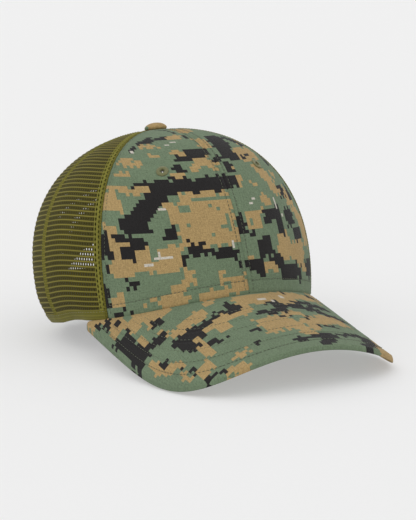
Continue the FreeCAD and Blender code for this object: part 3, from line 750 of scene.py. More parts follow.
def stitch_row(name, points, outward, material, pitch=2.6, radius=0.21, share=0.72, proud=0.1):
    """Separate sewn stitches along a line on a surface, each a thread that rises and dives again."""
    run = run_along(points)
    sides = 6
    rings = np.array([0.0, 0.12, 0.5, 0.88, 1.0])
    lift = np.array([-0.3, proud, proud + 0.12, proud, -0.3])
    size = np.array([0.45, 0.9, 1.0, 0.9, 0.45]) * radius
    around = np.linspace(0.0, 2.0 * np.pi, sides, endpoint=False)
    count = int(run[-1] / pitch)
    vertices, faces, texture = [], [], []
    quads = ring_lattice(len(rings), sides).tolist()
    for number in range(count):
        along = (number + 0.5 - share / 2.0 + share * rings) * pitch
        line = np.stack([np.interp(along, run, points[:, axis]) for axis in range(3)], -1)
        up = np.stack([np.interp(along, run, outward[:, axis]) for axis in range(3)], -1)
        up /= np.linalg.norm(up, axis=1, keepdims=True)
        ahead = line[-1] - line[0]
        ahead /= max(np.linalg.norm(ahead), 1e-9)
        side = np.cross(ahead, up)
        side /= np.linalg.norm(side, axis=1, keepdims=True)
        middle = line + up * lift[:, None]
        ring = (middle[:, None] + size[:, None, None] * (
            np.cos(around)[None, :, None] * side[:, None] + np.sin(around)[None, :, None] * up[:, None]))
        base = len(vertices) * len(rings) * sides
        vertices.append(ring.reshape(-1, 3))
        texture.append(np.stack(np.broadcast_arrays(along[:, None], around * radius), -1).reshape(-1, 2))
        faces += [[corner + base for corner in quad] for quad in quads]
        faces.append([base + corner for corner in range(sides)][::-1])
        last = base + (len(rings) - 1) * sides
        faces.append([last + corner for corner in range(sides)])
    return make_piece(name, np.vstack(vertices), faces, material, np.vstack(texture))


def crown_line(azimuth, station, inset):
    """Points and outward directions along a line on the crown."""
    step = 0.05
    here = crown(azimuth, station, inset)
    beside = crown(azimuth + step, station, inset) - here
    above = crown(azimuth, station + 0.001, inset) - here
    outward = np.cross(beside, above)
    return here, outward / np.linalg.norm(outward, axis=-1, keepdims=True)


# ---------------------------------------------------------------- front panels

eyelet_points = {side: crown(side * EYELET_AZIMUTH, EYELET_STATION) for _, side in SIDES}


def ridge(distance, width):
    """A smooth hump, 1 at distance 0."""
    return np.exp(-(distance / width) ** 2)


def front_relief(from_centre, from_side, up_hem, height):
    """How far the front cloth lies below the smooth crown: seams, stitched channels and puckers."""
    crease = 0.62 * ridge(from_centre, 0.8) + 0.75 * ridge(from_side, 1.0) + 0.5 * ridge(up_hem, 0.9)
    channels = 0.2 * ridge(from_centre - 3.0, 0.55) + 0.2 * ridge(up_hem - 8.5, 0.6)
    beside_seams = 0.12 * ridge(from_centre, 5.0) + 0.14 * ridge(from_side, 6.0)
    pucker = np.sin(2.0 * np.pi * height / 6.3) * beside_seams
    pucker = pucker + 0.1 * np.sin(2.0 * np.pi * (from_centre - from_side) / 17.0) * ridge(up_hem - 5.0, 6.0)
    ripple = 0.22 * np.sin(height / 11.0 + 0.9 * np.sin(from_centre / 14.0)) * np.sin(from_centre / 19.0)
    swell = 1.0 - ridge(from_centre, 9.0) - ridge(from_side, 9.0)
    return 0.1 + crease + channels + pucker + ripple * np.clip(swell, 0.0, 1.0) * ridge(up_hem - 90.0, 60.0)


def drilled(faces, points, hole, radius):
    """Leave out the faces whose corners all lie within a radius of a hole."""
    near = np.linalg.norm(points.reshape(-1, 3) - hole, axis=1) < radius
    return faces[~near[faces].all(axis=1)]


def make_front_panel(name, side):
    azimuth = spread(0.0, FRONT_SEAM, 112, 0.5) * side
    station = spread(0.0, 1.0, 205, 0.3)
    skin = crown(azimuth[None, :], station[:, None])
    across = lengths(skin, 1)
    up = lengths(skin, 0)
    height = np.broadcast_to(up[:, :1], across.shape)
    relief = front_relief(across, across[:, -1:] - across, up, height)
    front = crown(azimuth[None, :], station[:, None], relief)
    back = crown(azimuth[None, :], station[:, None], np.maximum(relief + 0.35, CLOTH))
    faces = drilled(lattice(*across.shape), skin, eyelet_points[side], 3.4)
    texture = np.stack([side * across, height], -1)
    panel = make_shell(f"front_panel_cloth_{name}", front, back, faces, camo_crown, texture)
    keep(panel, "cap", "camo_cloth", f"front_panel_{name}")

    inner = crown(azimuth[None, ::2], station[::2, None], 1.0)
    behind = crown(azimuth[None, ::2], station[::2, None], 1.9)
    faces = drilled(lattice(*inner.shape[:2]), skin[::2, ::2], eyelet_points[side], 4.4)
    lining = make_shell(f"buckram_{name}", inner, behind, faces, buckram, texture[::2, ::2])
    keep(lining, "cap", "buckram", f"front_backing_{name}")

    rib = np.linspace(0.012, 0.955, 300)
    offset = np.degrees(3.0 / np.maximum(crown(0.0, rib)[:, 1:2].ravel() * -1.0 + AXIS_BACK, 12.0))
    line, outward = crown_line(side * offset, rib, 0.25)
    row = stitch_row(f"centre_stitches_{name}", line, outward, camo_thread)
    keep(row, "cap", "camo_cloth")
    around = np.linspace(1.5, FRONT_SEAM - 1.0, 160) * side
    line, outward = crown_line(around, station_up(around, np.full(160, 8.5)), 0.28)
    row = stitch_row(f"hem_stitches_{name}", line, outward, camo_thread)
    keep(row, "cap", "camo_cloth")
    seam_radius = np.maximum(hem_radius(FRONT_SEAM) * (1.0 - rib ** 3), 14.0)
    side_line = side * (FRONT_SEAM - np.degrees(3.0 / seam_radius))
    line, outward = crown_line(side_line, rib, 0.25)
    row = stitch_row(f"side_stitches_{name}", line, outward, camo_thread)
    keep(row, "cap", "camo_cloth")


# ---------------------------------------------------------------- net panels

HOLE_HALF_WIDTH = 0.43
HOLE_HALF_HEIGHT = 0.88
CELL_SIDES = 8
SELVEDGE_COLUMNS = 2
SELVEDGE_PITCH = 2.6
SELVEDGE_TOP = 0.9


def net_cell(half_width=HOLE_HALF_WIDTH / COLUMN_PITCH, half_height=HOLE_HALF_HEIGHT / RIB_PITCH):
    """One cell of the net: three rings of points round its hole, in shares of the pitches."""
    rim = [(-0.5, -0.5), (0.0, -0.5), (0.5, -0.5), (0.5, 0.0),
           (0.5, 0.5), (0.0, 0.5), (-0.5, 0.5), (-0.5, 0.0)]
    angles = [-125.0, -90.0, -55.0, 0.0, 55.0, 90.0, 125.0, 180.0]
    hole = []
    for angle in angles:
        turn = math.radians(angle)
        hole.append((half_width * math.cos(turn), half_height * math.sin(turn)))
    middle = [(0.4 * a[0] + 0.6 * b[0], 0.4 * a[1] + 0.6 * b[1]) for a, b in zip(rim, hole)]
    return np.array([rim, middle, hole])


def make_net(name, side, start, stop, arch, nodes):
    """A panel of open mesh: staggered tall holes between raised ribs, cut at its seams and at the arch."""
    home = side * (start + stop) / 2.0
    low, high = sorted((side * start, side * stop))
    chart = Chart(low, high, home)
    cell = net_cell()
    count = int(chart.up[-1] / RIB_PITCH)
    points, faces = [], []
    quads = ring_lattice(3, CELL_SIDES)
    for row in range(1, count + 1):
        level = (row - 0.5) * RIB_PITCH
        if level + RIB_PITCH > chart.up[-1] * 0.985:
            break
        widths = chart.row(level)[1]
        shift = 0.5 * (row % 2)
        first = int(math.floor(widths[0] / COLUMN_PITCH)) - 1
        last = int(math.ceil(widths[-1] / COLUMN_PITCH)) + 1
        for column in range(first, last + 1):
            middle = (column + shift) * COLUMN_PITCH
            if middle < widths[0] - 0.4 * COLUMN_PITCH or middle > widths[-1] + 0.4 * COLUMN_PITCH:
                continue
            spot = cell.reshape(-1, 2) * (COLUMN_PITCH, RIB_PITCH) + (middle, level)
            faces.append(quads + 3 * CELL_SIDES * len(points))
            points.append(spot)
    flat_points = np.round(np.vstack(points), 4)
    faces = np.vstack(faces)
    azimuth, station = chart.find(flat_points[:, 0], flat_points[:, 1])
    if start == FRONT_SEAM:
        spots = crown(azimuth, station)
        from_seam = np.radians(np.abs(azimuth) - FRONT_SEAM) * from_axis(spots)
        inside = (from_seam < SELVEDGE_COLUMNS * SELVEDGE_PITCH - 0.5) & (station < SELVEDGE_TOP - 0.035)
        faces = faces[~inside[faces].all(axis=1)]
    if arch:
        spots = crown(azimuth, station)
        inside = np.hypot(spots[:, 0] / (ARCH_HALF_WIDTH + 2.0),
                          (spots[:, 2] + HEM_BACK_DROP) / (ARCH_HEIGHT + 2.0)) < 1.0
        faces = faces[~inside[faces].any(axis=1)]
    key = np.round(np.stack([azimuth * 200.0, station * 20000.0], -1)).astype(np.int64)
    _, first_of, merged = np.unique(key, axis=0, return_index=True, return_inverse=True)
    faces = merged.ravel()[faces]
    azimuth, station, flat_points = azimuth[first_of], station[first_of], flat_points[first_of]
    used, faces = np.unique(faces, return_inverse=True)
    faces = faces.reshape(-1, 4)
    azimuth, station, flat_points = azimuth[used], station[used], flat_points[used]
    phase = flat_points[:, 1] / RIB_PITCH
    to_rib = np.abs(phase - np.round(phase)) * RIB_PITCH
    relief = 0.4 - 0.36 * ridge(to_rib, 0.36)
    front = crown(azimuth, station, relief)
    back = crown(azimuth, station, CLOTH - 0.08 + 0.1 * ridge(to_rib, 0.5))
    net = make_shell(name, front, back, faces, mesh_yarn, flat_points)
    keep(net, "cap", "olive_mesh", *nodes)


def make_selvedge(name, side):
    """The net's edge beside the front seam: columns of bold loops round tall holes."""
    cell = net_cell(0.25, 0.38)
    rib = crown(side * FRONT_SEAM, np.linspace(0.0, SELVEDGE_TOP, 400))
    run = run_along(rib)
    quads = ring_lattice(3, CELL_SIDES)
    points, faces, ring = [], [], []
    for column in range(SELVEDGE_COLUMNS):
        for row in range(int(run[-1] / RIB_PITCH) - 1):
            middle = ((column + 0.5) * SELVEDGE_PITCH, (row + 0.9 + 0.5 * column) * RIB_PITCH)
            faces.append(quads + 3 * CELL_SIDES * len(points))
            points.append(cell.reshape(-1, 2) * (SELVEDGE_PITCH, RIB_PITCH) + middle)
            ring.append(np.repeat((0.0, 0.55, 0.3), CELL_SIDES))
    flat_points = np.round(np.vstack(points), 4)
    ring = np.concatenate(ring)
    faces = np.vstack(faces)
    _, first_of, merged = np.unique(np.round(flat_points * 50.0).astype(int), axis=0, return_index=True,
                                    return_inverse=True)
    faces = merged.ravel()[faces]
    flat_points, ring = flat_points[first_of], ring[first_of]
    station = np.interp(flat_points[:, 1], run, np.linspace(0.0, SELVEDGE_TOP, 400))
    spots = crown(side * FRONT_SEAM, station)
    radius = from_axis(spots)
    azimuth = side * (FRONT_SEAM + np.degrees(flat_points[:, 0] / radius))
    front = crown(azimuth, station, 0.3 - ring)
    back = crown(azimuth, station, CLOTH + 0.2 * ring)
    piece = make_shell(name, front, back, faces, loop_yarn, flat_points)
    return keep(piece, "cap", "olive_mesh")


def seam_band(name, azimuth, low, high, lobes, reach):
    """A sewn seam: puckered lobes of gathered cloth along a rib."""
    station = np.linspace(low, high, 420)
    across = np.linspace(lobes[0][0] - reach, lobes[-1][0] + reach, 25)
    rib = crown(azimuth, station)
    radius = np.maximum(from_axis(rib), 6.0)
    run = run_along(rib)
    turned = azimuth + np.degrees(across[None, :] / radius[:, None])
    lump = sum(tall * ridge(across - middle, wide) for middle, wide, tall in lobes)
    gather = 1.0 + 0.3 * np.sin(2.0 * np.pi * run[:, None] / 1.9 + 1.5 * np.sign(across)[None, :])
    relief = 0.25 - lump[None, :] * gather
    front = crown(turned, station[:, None], relief)
    back = crown(turned, station[:, None], 0.86)
    texture = paired(across[None, :], run[:, None])
    piece = make_shell(name, front, back, lattice(len(station), len(across)), seam_yarn, texture)
    return keep(piece, "cap", "olive_mesh")


def make_top_gather():
    """The mesh panels' gathered seam allowances, pressed flat round the button."""
    steps = np.linspace(0.8, 1.0, 200)
    rib = crown(SIDE_SEAM, steps)
    begin = float(np.interp(-11.5, -from_axis(rib), steps))
    azimuth = np.linspace(FRONT_SEAM - 3.0, 363.0 - FRONT_SEAM, 181)[None, :]
    station = np.linspace(begin, 0.998, 16)[:, None]
    pleats = 0.14 * np.sin(np.radians(azimuth) * 26.0) * np.sin(np.linspace(0.0, np.pi, 16))[:, None]
    front = crown(azimuth, station, 0.12 + pleats)
    back = crown(azimuth, station, 0.84)
    texture = paired(np.radians(azimuth) * 8.0, station * 120.0)
    piece = make_shell("mesh_top_gather", front, back, lattice(16, 181), seam_yarn, texture)
    keep(piece, "cap", "olive_mesh")


def make_hem_fold(name, side):
    """The mesh's hem, turned up inside in a soft roll."""
    azimuth = side * np.linspace(FRONT_SEAM + 0.5, 141.0, 150)
    rise = np.array([6.4, 5.6, 4.2, 2.6, 1.2, 0.3, -0.3, -0.5, -0.3, 0.3, 1.2, 2.6, 4.2, 5.6, 6.6])
    front_inset = np.array([0.1, -0.2, -0.3, -0.3, -0.2, 0.1, 0.55, 1.1, 1.65, 2.1, 2.35, 2.4, 2.4, 2.4, 2.3])
    back_inset = np.array([0.4, 0.4, 0.4, 0.4, 0.45, 0.6, 0.85, 1.1, 1.4, 1.65, 1.8, 1.85, 1.85, 1.85, 1.9])
    rib_wave = 0.1 * np.cos(2.0 * np.pi * rise / RIB_PITCH)
    ripple = 0.08 * np.sin(np.radians(azimuth) * 55.0)
    levels = np.maximum(rise, 0.0)
    station = np.array([station_up([one] * len(levels), levels) for one in azimuth])
    below = np.minimum(rise, 0.0)[None, :]
    front = crown(azimuth[:, None], station, front_inset[None, :] - rib_wave[None, :] + ripple[:, None])
    back = crown(azimuth[:, None], station, back_inset[None, :])
    front[..., 2] += below
    back[..., 2] += 0.4 * below + 0.2
    run = np.radians(azimuth) * 85.0
    texture = paired(run[:, None], np.linspace(0.0, 16.0, len(rise))[None, :])
    fold = make_shell(f"mesh_hem_{name}", front, back, lattice(len(azimuth), len(rise)), seam_yarn, texture)
    keep(fold, "cap", "olive_mesh", f"hem_binding_{name}")
    line, outward = crown_line(azimuth, station_up(azimuth, np.full(len(azimuth), 5.2)), -0.12)
    row = stitch_row(f"mesh_hem_stitches_{name}", line, outward, olive_thread)
    keep(row, "cap", "olive_tape")


BINDING_WIDTH = 8.0


def make_opening_binding():
    """Tape folded over the edge of the rear opening."""
    width = BINDING_WIDTH
    rim = np.array([width, 0.8 * width, 0.5 * width, 0.2 * width, 0.0, -0.7, -1.0, -0.7, 0.0,
                    0.2 * width, 0.5 * width, 0.8 * width, width])
    outside = np.array([-0.15, -0.45, -0.5, -0.5, -0.45, -0.1, 0.6, 1.3, 1.62, 1.65, 1.65, 1.6, 1.4])
    inside = np.array([0.05, 0.0, 0.0, 0.0, 0.05, 0.3, 0.6, 0.9, 1.1, 1.12, 1.12, 1.1, 1.05])
    turn = np.radians(np.linspace(-86.0, 86.0, 220))
    across = (ARCH_HALF_WIDTH + rim[None, :]) * np.sin(turn)[:, None]
    height = -HEM_BACK_DROP + (ARCH_HEIGHT + rim[None, :]) * np.cos(turn)[:, None]
    azimuth, station = rear_spot(across, height)
    station = np.maximum(station, 0.0)
    ripple = 0.07 * np.sin(turn * 70.0)[:, None]
    front = crown(azimuth, station, outside[None, :] + ripple)
    back = crown(azimuth, station, inside[None, :])
    run = lengths(front[:, 4:5], 0)[:, 0]
    texture = paired(run[:, None], np.linspace(0.0, 19.0, len(rim))[None, :])
    piece = make_shell("rear_opening_tape", front, back, lattice(len(turn), len(rim)), olive_tape, texture)
    keep(piece, "cap", "olive_tape", "opening_binding")
    for label, at in (("inner", 1.6), ("outer", 6.4)):
        across = (ARCH_HALF_WIDTH + at) * np.sin(turn)
        height = -HEM_BACK_DROP + (ARCH_HEIGHT + at) * np.cos(turn)
        azimuth, station = rear_spot(across, height)
        line, outward = crown_line(azimuth, np.maximum(station, 0.0), -0.4)
        row = stitch_row(f"opening_stitches_{label}", line, outward, olive_thread)
        keep(row, "cap", "olive_tape")


# ---------------------------------------------------------------- inside

TAPE_HALF_WIDTH = 6.0
TAPE_TOP_RADIUS = 21.5


def make_tape(name, azimuth, outer, node, low=0.01):
    """A strip of tape over a seam, inside the crown."""
    steps = np.linspace(0.0, 1.0, 400)
    rib = crown(azimuth, steps)
    radius = from_axis(rib)
    top = float(np.interp(-TAPE_TOP_RADIUS, -radius[150:], steps[150:]))
    station = np.linspace(low, top, 260)
    rib = crown(azimuth, station)
    radius = from_axis(rib)
    across = np.linspace(-TAPE_HALF_WIDTH, TAPE_HALF_WIDTH, 17)
    turned = azimuth + np.degrees(np.arctan2(across[None, :], radius[:, None]))
    run = run_along(rib)
    swell = 0.18 * (ridge(np.abs(across) - 4.6, 0.6)[None, :] + 0.4 * np.sin(run[:, None] / 2.2))
    front = crown(turned, station[:, None], outer)
    back = crown(turned, station[:, None], outer + 0.6 - swell * 0.6)
    texture = paired(across[None, :], run[:, None])
    piece = make_shell(name, front, back, lattice(len(station), len(across)), olive_tape, texture)
    keep(piece, "cap", "olive_tape", node)
    for label, at in (("a", -4.6), ("b", 4.6)):
        beside = azimuth + np.degrees(np.arctan2(at, radius))
        line, outward = crown_line(beside, station, outer + 0.5)
        row = stitch_row(f"{name}_stitches_{label}", line, -outward, olive_thread, proud=0.08)
        keep(row, "cap", "olive_tape")


def make_sweatband():
    """Band round the inside: a folded top edge, soft waves and one sewn line."""
    azimuth = np.linspace(-130.0, 130.0, 420)
    rise = np.concatenate([np.linspace(0.0, 0.9, 16), [0.94, 0.97, 0.99, 1.0]])
    start = np.maximum(hem_height(azimuth), -20.0) + 0.6
    stop = np.full(len(azimuth), 26.6)
    height = start[:, None] + (stop - start)[:, None] * rise[None, :]
    steps = np.linspace(0.0, 0.6, 160)
    station = np.array([np.interp(z, crown(a, steps)[:, 2], steps) for a, z in zip(azimuth, height)])
    wave = 0.25 * np.sin(np.radians(azimuth) * 21.0)[:, None] * rise[None, :] ** 2
    fold = 0.35 * ridge(rise - 0.93, 0.05)[None, :]
    groove = 0.25 * ridge(rise - 0.8, 0.03)[None, :]
    ending = 0.5 * ridge(rise - 1.0, 0.02)[None, :]
    front = crown(azimuth[:, None], station, 3.1 + 0.4 * wave + ending)
    back = crown(azimuth[:, None], station, 4.0 + wave + fold - groove - ending)
    run = np.radians(azimuth) * 90.0
    texture = paired(run[:, None], height)
    band = make_shell("sweatband_cloth", front, back, lattice(*height.shape), sweat_cloth, texture)
    keep(band, "cap", "sweatband_cloth", "sweatband")
    level = start + (stop - start) * 0.8
    line, outward = crown_line(azimuth, station_at_height(azimuth, level), 4.0)
    row = stitch_row("sweatband_stitches", line, -outward, olive_thread)
    keep(row, "cap", "sweatband_cloth")


# ---------------------------------------------------------------- visor

def visor_plan(columns, rows):
    """Points of the visor's plan from the hem to the rim: along its bend and forward, and the width there."""
    turn = np.radians(np.linspace(-90.0, 90.0, 2001))
    reach = CROWN_FRONT + VISOR_LENGTH - VISOR_ROOT - VISOR_TURN_IN
    sine = np.sin(turn)
    along = (VISOR_HALF_WIDTH - VISOR_TURN_IN) * np.sign(sine) * np.abs(sine) ** (2.0 / VISOR_POWERS[0])
    forward = VISOR_ROOT + reach * np.abs(np.cos(turn)) ** (2.0 / VISOR_POWERS[1])
    root = math.acos((VISOR_ROOT + AXIS_BACK) / FRONT_REACH)
    around = np.linspace(-root, root, 2001)
    hem_along = VISOR_BEND * np.arcsin((CROWN_SIDE + 0.1) * np.sin(around) / VISOR_BEND)
    hem_forward = (FRONT_REACH + 0.1) * np.cos(around) - AXIS_BACK

    def even(x, y):
        run = np.concatenate([[0.0], np.cumsum(np.hypot(np.diff(x), np.diff(y)))])
        wanted = np.linspace(0.0, run[-1], columns)
        return np.interp(wanted, run, x), np.interp(wanted, run, y)

    rim_x, rim_y = even(along, forward)
    hem_x, hem_y = even(hem_along, hem_forward)
    share = np.asarray(rows)[:, None]
    across = hem_x[None, :] + (rim_x - hem_x)[None, :] * share
    ahead = hem_y[None, :] + (rim_y - hem_y)[None, :] * share
    width = np.hypot(rim_x - hem_x, rim_y - hem_y)
    return across, ahead, width


VISOR_ROWS = (7.0, 16.0, 25.0, 34.0, 43.0, 52.0)


def visor_surface(across, ahead, depth):
    """Points at a depth below the visor's upper face, square under its plan."""
    sideways = VISOR_BEND * np.sin(across / VISOR_BEND)
    slope = -VISOR_SLOPE * (ahead - CROWN_FRONT)
    bow = np.sqrt((VISOR_BEND - depth) ** 2 - sideways ** 2) - VISOR_BEND
    return np.stack(np.broadcast_arrays(sideways, -ahead, slope + bow), -1)


def make_visor_cover(name, lower, material, slot, node):
    """One face of the visor's cover, rolled round the rim to the middle of its edge."""
    share = np.concatenate([[-0.06, -0.03], np.linspace(0.0, 0.03, 5)[:-1], np.linspace(0.03, 1.0, 92)])
    across, ahead, width = visor_plan(300, share)
    from_rim = (1.0 - share)[:, None] * width[None, :]
    from_hem = share[:, None] * width[None, :]
    relief = np.zeros_like(from_rim)
    for distance in VISOR_ROWS:
        shown = np.clip((width - distance - 3.0) / 4.0, 0.0, 1.0)[None, :]
        relief += 0.28 * ridge(from_rim - distance, 0.75) * shown
    swell = 0.12 * np.sin(across / 7.0) * np.sin(ahead / 6.0 + 0.3 * np.sin(across / 9.0))
    relief = relief + swell * ridge(from_rim - 30.0, 40.0) * np.clip(from_rim / 6.0, 0.0, 1.0)
    relief = relief + (0.0 if lower else 0.35) * ridge(from_hem, 0.8)
    bend = np.linspace(0.0, math.pi / 2.0, 9)[1:]
    middle = VISOR_THICK / 2.0
    grid = visor_surface(across, ahead, relief if not lower else VISOR_THICK - relief)
    rim_outward = normals(visor_surface(across, ahead, 0.0))
    edge = visor_surface(across[-1], ahead[-1], 0.0)
    along_edge = np.gradient(edge, axis=0)
    sideways = np.cross(along_edge, rim_outward[-1])
    sideways /= np.linalg.norm(sideways, axis=-1, keepdims=True)
    if sideways[150, 1] > 0.0:
        sideways = -sideways
    wrap = []
    for angle in bend:
        depth = middle * (1.0 - math.cos(angle))
        depth = VISOR_THICK - depth if lower else depth
        wrap.append(visor_surface(across[-1], ahead[-1], depth) + sideways * VISOR_ROLL * math.sin(angle))
    front = np.concatenate([grid, np.array(wrap)])
    facing = normals(front)
    facing *= (-1.0 if lower else 1.0) * np.sign(facing[20, 150, 2])
    back = front - facing * 0.6
    plan = np.stack([across, ahead - CROWN_FRONT], -1)
    beyond = sideways[:, :2] * (1.0, -1.0)
    beyond /= np.linalg.norm(beyond, axis=-1, keepdims=True)
    texture = np.concatenate([plan, plan[-1:] + bend[:, None, None] * VISOR_WRAP * beyond])
    cover = make_shell(name, front, back, lattice(*front.shape[:2]), material, texture)
    keep(cover, "cap", slot, node)
    for number, distance in enumerate(VISOR_ROWS):
        chosen = width > distance + 5.0
        part = 1.0 - distance / np.maximum(width, 1e-6)
        x = across[0] + (across[-1] - across[0]) * part
        y = ahead[0] + (ahead[-1] - ahead[0]) * part
        spots = visor_surface(x[chosen], y[chosen], VISOR_THICK - 0.22 if lower else 0.22)
        outward = np.zeros_like(spots)
        outward[:, 0] = np.sin(x[chosen] / VISOR_BEND)
        outward[:, 1] = -VISOR_SLOPE
        outward[:, 2] = np.cos(x[chosen] / VISOR_BEND)
        row = stitch_row(f"{name}_stitches_{number + 1}", spots, -outward if lower else outward, camo_thread)
        keep(row, "cap", slot)


# ---------------------------------------------------------------- button, eyelets

def turned_piece(name, profile, segments, ripple, frame_at, material):
    """A closed profile turned about an axis, with a ripple round it."""
    origin, axis, first, second = frame_at
    angle = np.linspace(0.0, 2.0 * np.pi, segments, endpoint=False)
    radius, height = np.array(profile, float).T
    swell = ripple(radius[:, None], height[:, None], angle[None, :])
    out = (radius[:, None] + swell)[..., None]
    around = np.cos(angle)[None, :, None] * first + np.sin(angle)[None, :, None] * second
    points = origin + out * around + height[:, None, None] * axis
    faces = ring_lattice(len(profile), segments).tolist()
    last = (len(profile) - 1) * segments
    closing = np.arange(segments)
    following = np.roll(closing, -1)
    faces += np.stack([closing + last, following + last, following, closing], -1).tolist()
    texture = np.stack([out[..., 0] * np.cos(angle), out[..., 0] * np.sin(angle)], -1)
    return make_piece(name, points.reshape(-1, 3), faces, material, texture.reshape(-1, 2))


def make_button():
    """A cloth-covered button, gathered under its rolled edge."""
    top = BUTTON_HEIGHT
    edge = BUTTON_RADIUS
    outer = [(0.05, top), (1.6, top - 0.06), (3.2, top - 0.3), (4.7, top - 0.75), (5.9, top - 1.4),
             (6.9, top - 2.2), (edge, top - 3.1), (edge - 0.02, top - 3.7), (edge - 0.3, top - 4.3),
             (edge - 0.8, 0.25), (edge - 1.2, 0.05)]
    inner = [(edge - 1.8, 0.3), (edge - 1.4, 1.4), (5.2, 2.9), (3.0, 3.8), (0.05, 4.0)]
    frame_at = (np.array([0.0, AXIS_BACK, CROWN_TOP]), np.array([0.0, 0.0, 1.0]),
                np.array([1.0, 0.0, 0.0]), np.array([0.0, 1.0, 0.0]))

    def gathers(radius, height, angle):
        low = np.clip((top - 2.6 - height) / 2.0, 0.0, 1.0)
        return 0.16 * low * np.sin(22.0 * angle) + 0.05 * np.sin(5.0 * angle) * (radius > 5.0)

    button = turned_piece("button_cover", outer + inner, 132, gathers, frame_at, camo_crown)
    layer = button.data.uv_layers["cloth"]
    moved = np.zeros(len(layer.data) * 2, np.float32)
    layer.data.foreach_get("uv", moved)
    moved = moved.reshape(-1, 2) + (-22.0, 58.0)
    layer.data.foreach_set("uv", moved.astype(np.float32).ravel())
    keep(button, "cap", "camo_cloth", "top_button")


def make_eyelet(name, side):
    """An air hole with a raised ring of radial satin stitches."""
    azimuth = side * EYELET_AZIMUTH
    point, outward = crown_line(np.array([azimuth]), np.array([EYELET_STATION]), np.zeros(1))
    axis = outward[0]
    first = np.cross(axis, (0.0, 0.0, 1.0))
    first /= np.linalg.norm(first)
    second = np.cross(axis, first)
    profile = [(1.2, -1.9), (1.2, -0.6), (1.3, 0.1), (1.6, 0.45), (2.1, 0.62), (2.7, 0.64), (3.3, 0.5),
               (3.8, 0.26), (4.05, 0.0), (3.9, -0.4), (2.0, -0.45), (1.8, -1.9)]

    def threads(radius, height, angle):
        satin = 0.1 * np.sin(34.0 * angle) * (height > -0.3) * (radius > 1.25)
        return satin + 0.04 * np.sin(7.0 * angle + radius)

    frame_at = (point[0], axis, first, second)
    ring = turned_piece(f"eyelet_ring_{name}", profile, 204, threads, frame_at, eyelet_thread)
    keep(ring, "cap", "eyelet_thread", f"eyelet_{name}")


# ---------------------------------------------------------------- snap closure

def strap_path(side, radius):
    """Plan line of a strap from its tip round to the end of its sewn tab, and its running length."""
    tip_angle = -side * STRAP_OVERLAP / STRAP_BEND
    root_angle = side * STRAP_REACH / STRAP_BEND
    angle = np.linspace(tip_angle, root_angle, 200)
    bent = np.stack([radius * np.sin(angle), strap_centre() + radius * np.cos(angle)], -1)
    root = bent[-1]
    start = math.degrees(math.atan2(root[0], AXIS_BACK - root[1]))
    reach = math.hypot(root[0], root[1] - AXIS_BACK)
    inset = float(hem_radius(start)) - reach
    span = math.degrees((TAB_LENGTH + 0.9) / reach)
    azimuth = np.linspace(start, start - side * span, 40)[1:]
    out = hem_radius(azimuth) - inset
    tab = np.stack([out * np.sin(np.radians(azimuth)), AXIS_BACK - out * np.cos(np.radians(azimuth))], -1)
    line = np.vstack([bent, tab])
    run = run_along(line)
    return line, run


def strap_sheet(with_holes, total):
    """Flat layout of a strap: distance from its tip, and height from its middle line."""
    cell = SNAP_PITCH
    sides = 16
    half = STRAP_WIDTH / 2.0
    start = STRAP_OVERLAP - SNAP_PITCH - cell / 2.0
    points, faces = [], []

    def add(block, quads):
        faces.append(quads + sum(len(one) for one in points))
        points.append(block)

    rim_share = [(-1, -1), (-0.5, -1), (0, -1), (0.5, -1), (1, -1), (1, -0.5), (1, 0), (1, 0.5),
                 (1, 1), (0.5, 1), (0, 1), (-0.5, 1), (-1, 1), (-1, 0.5), (-1, 0), (-1, -0.5)]
    square = np.array(rim_share, float) * (cell / 2.0)
    turn = np.arctan2(square[:, 1], square[:, 0])
    for number in range(SNAPS):
        middle = start + cell / 2.0 + number * cell
        if with_holes:
            rings = []
            for radius in (SNAP_HOLE, SNAP_HOLE + 0.35, SNAP_HOLE + 0.9):
                rings.append(np.stack([radius * np.cos(turn), radius * np.sin(turn)], -1))
            rings.append(square)
            block = np.vstack(rings) + (middle, 0.0)
            add(block, ring_lattice(len(rings), sides))
        else:
            grid_x = np.linspace(-cell / 2.0, cell / 2.0, 5)
            grid = np.stack(np.meshgrid(grid_x, grid_x), -1).reshape(-1, 2)
            add(grid + (middle, 0.0), lattice(5, 5))
    pieces_x = np.linspace(start, start + SNAPS * cell, SNAPS * 4 + 1)
    for low, high in ((-half, -cell / 2.0), (cell / 2.0, half)):
        band_y = np.array([low, low + (high - low) * 0.12, low + (high - low) * 0.35, (low + high) / 2.0,
                           high - (high - low) * 0.35, high - (high - low) * 0.12, high])
        grid = np.stack(np.meshgrid(pieces_x, band_y), -1).reshape(-1, 2)
        add(grid, lattice(len(band_y), len(pieces_x)))
    levels = np.concatenate([
        [-half, -half + 0.6, -half + 1.75, -half + 2.5, -half + 3.25, -half + 4.4, -cell / 2.0],
        [-cell / 4.0, 0.0, cell / 4.0],
        [cell / 2.0, half - 4.4, half - 3.25, half - 2.5, half - 1.75, half - 0.6, half]])
    stretches = [np.linspace(start + SNAPS * cell, total, 44)]
    if start > 0.05:
        stretches.append(np.array([0.0, 0.12, 0.3, 0.5, 0.75, 1.0]) * start)
    for stretch in stretches:
        grid = np.stack(np.meshgrid(stretch, levels), -1).reshape(-1, 2)
        add(grid, lattice(len(levels), len(stretch)))
    points = np.vstack(points)
    faces = np.vstack(faces)
    key = np.round(points * 1000.0).astype(np.int64)
    _, first_of, merged = np.unique(key, axis=0, return_index=True, return_inverse=True)
    return points[first_of], merged.ravel()[faces]


PEG_SUNK = 0.2


def no_ripple(radius, height, angle):
    """The ripple of a plain turned piece."""
    return np.zeros(np.broadcast(radius, height, angle).shape)


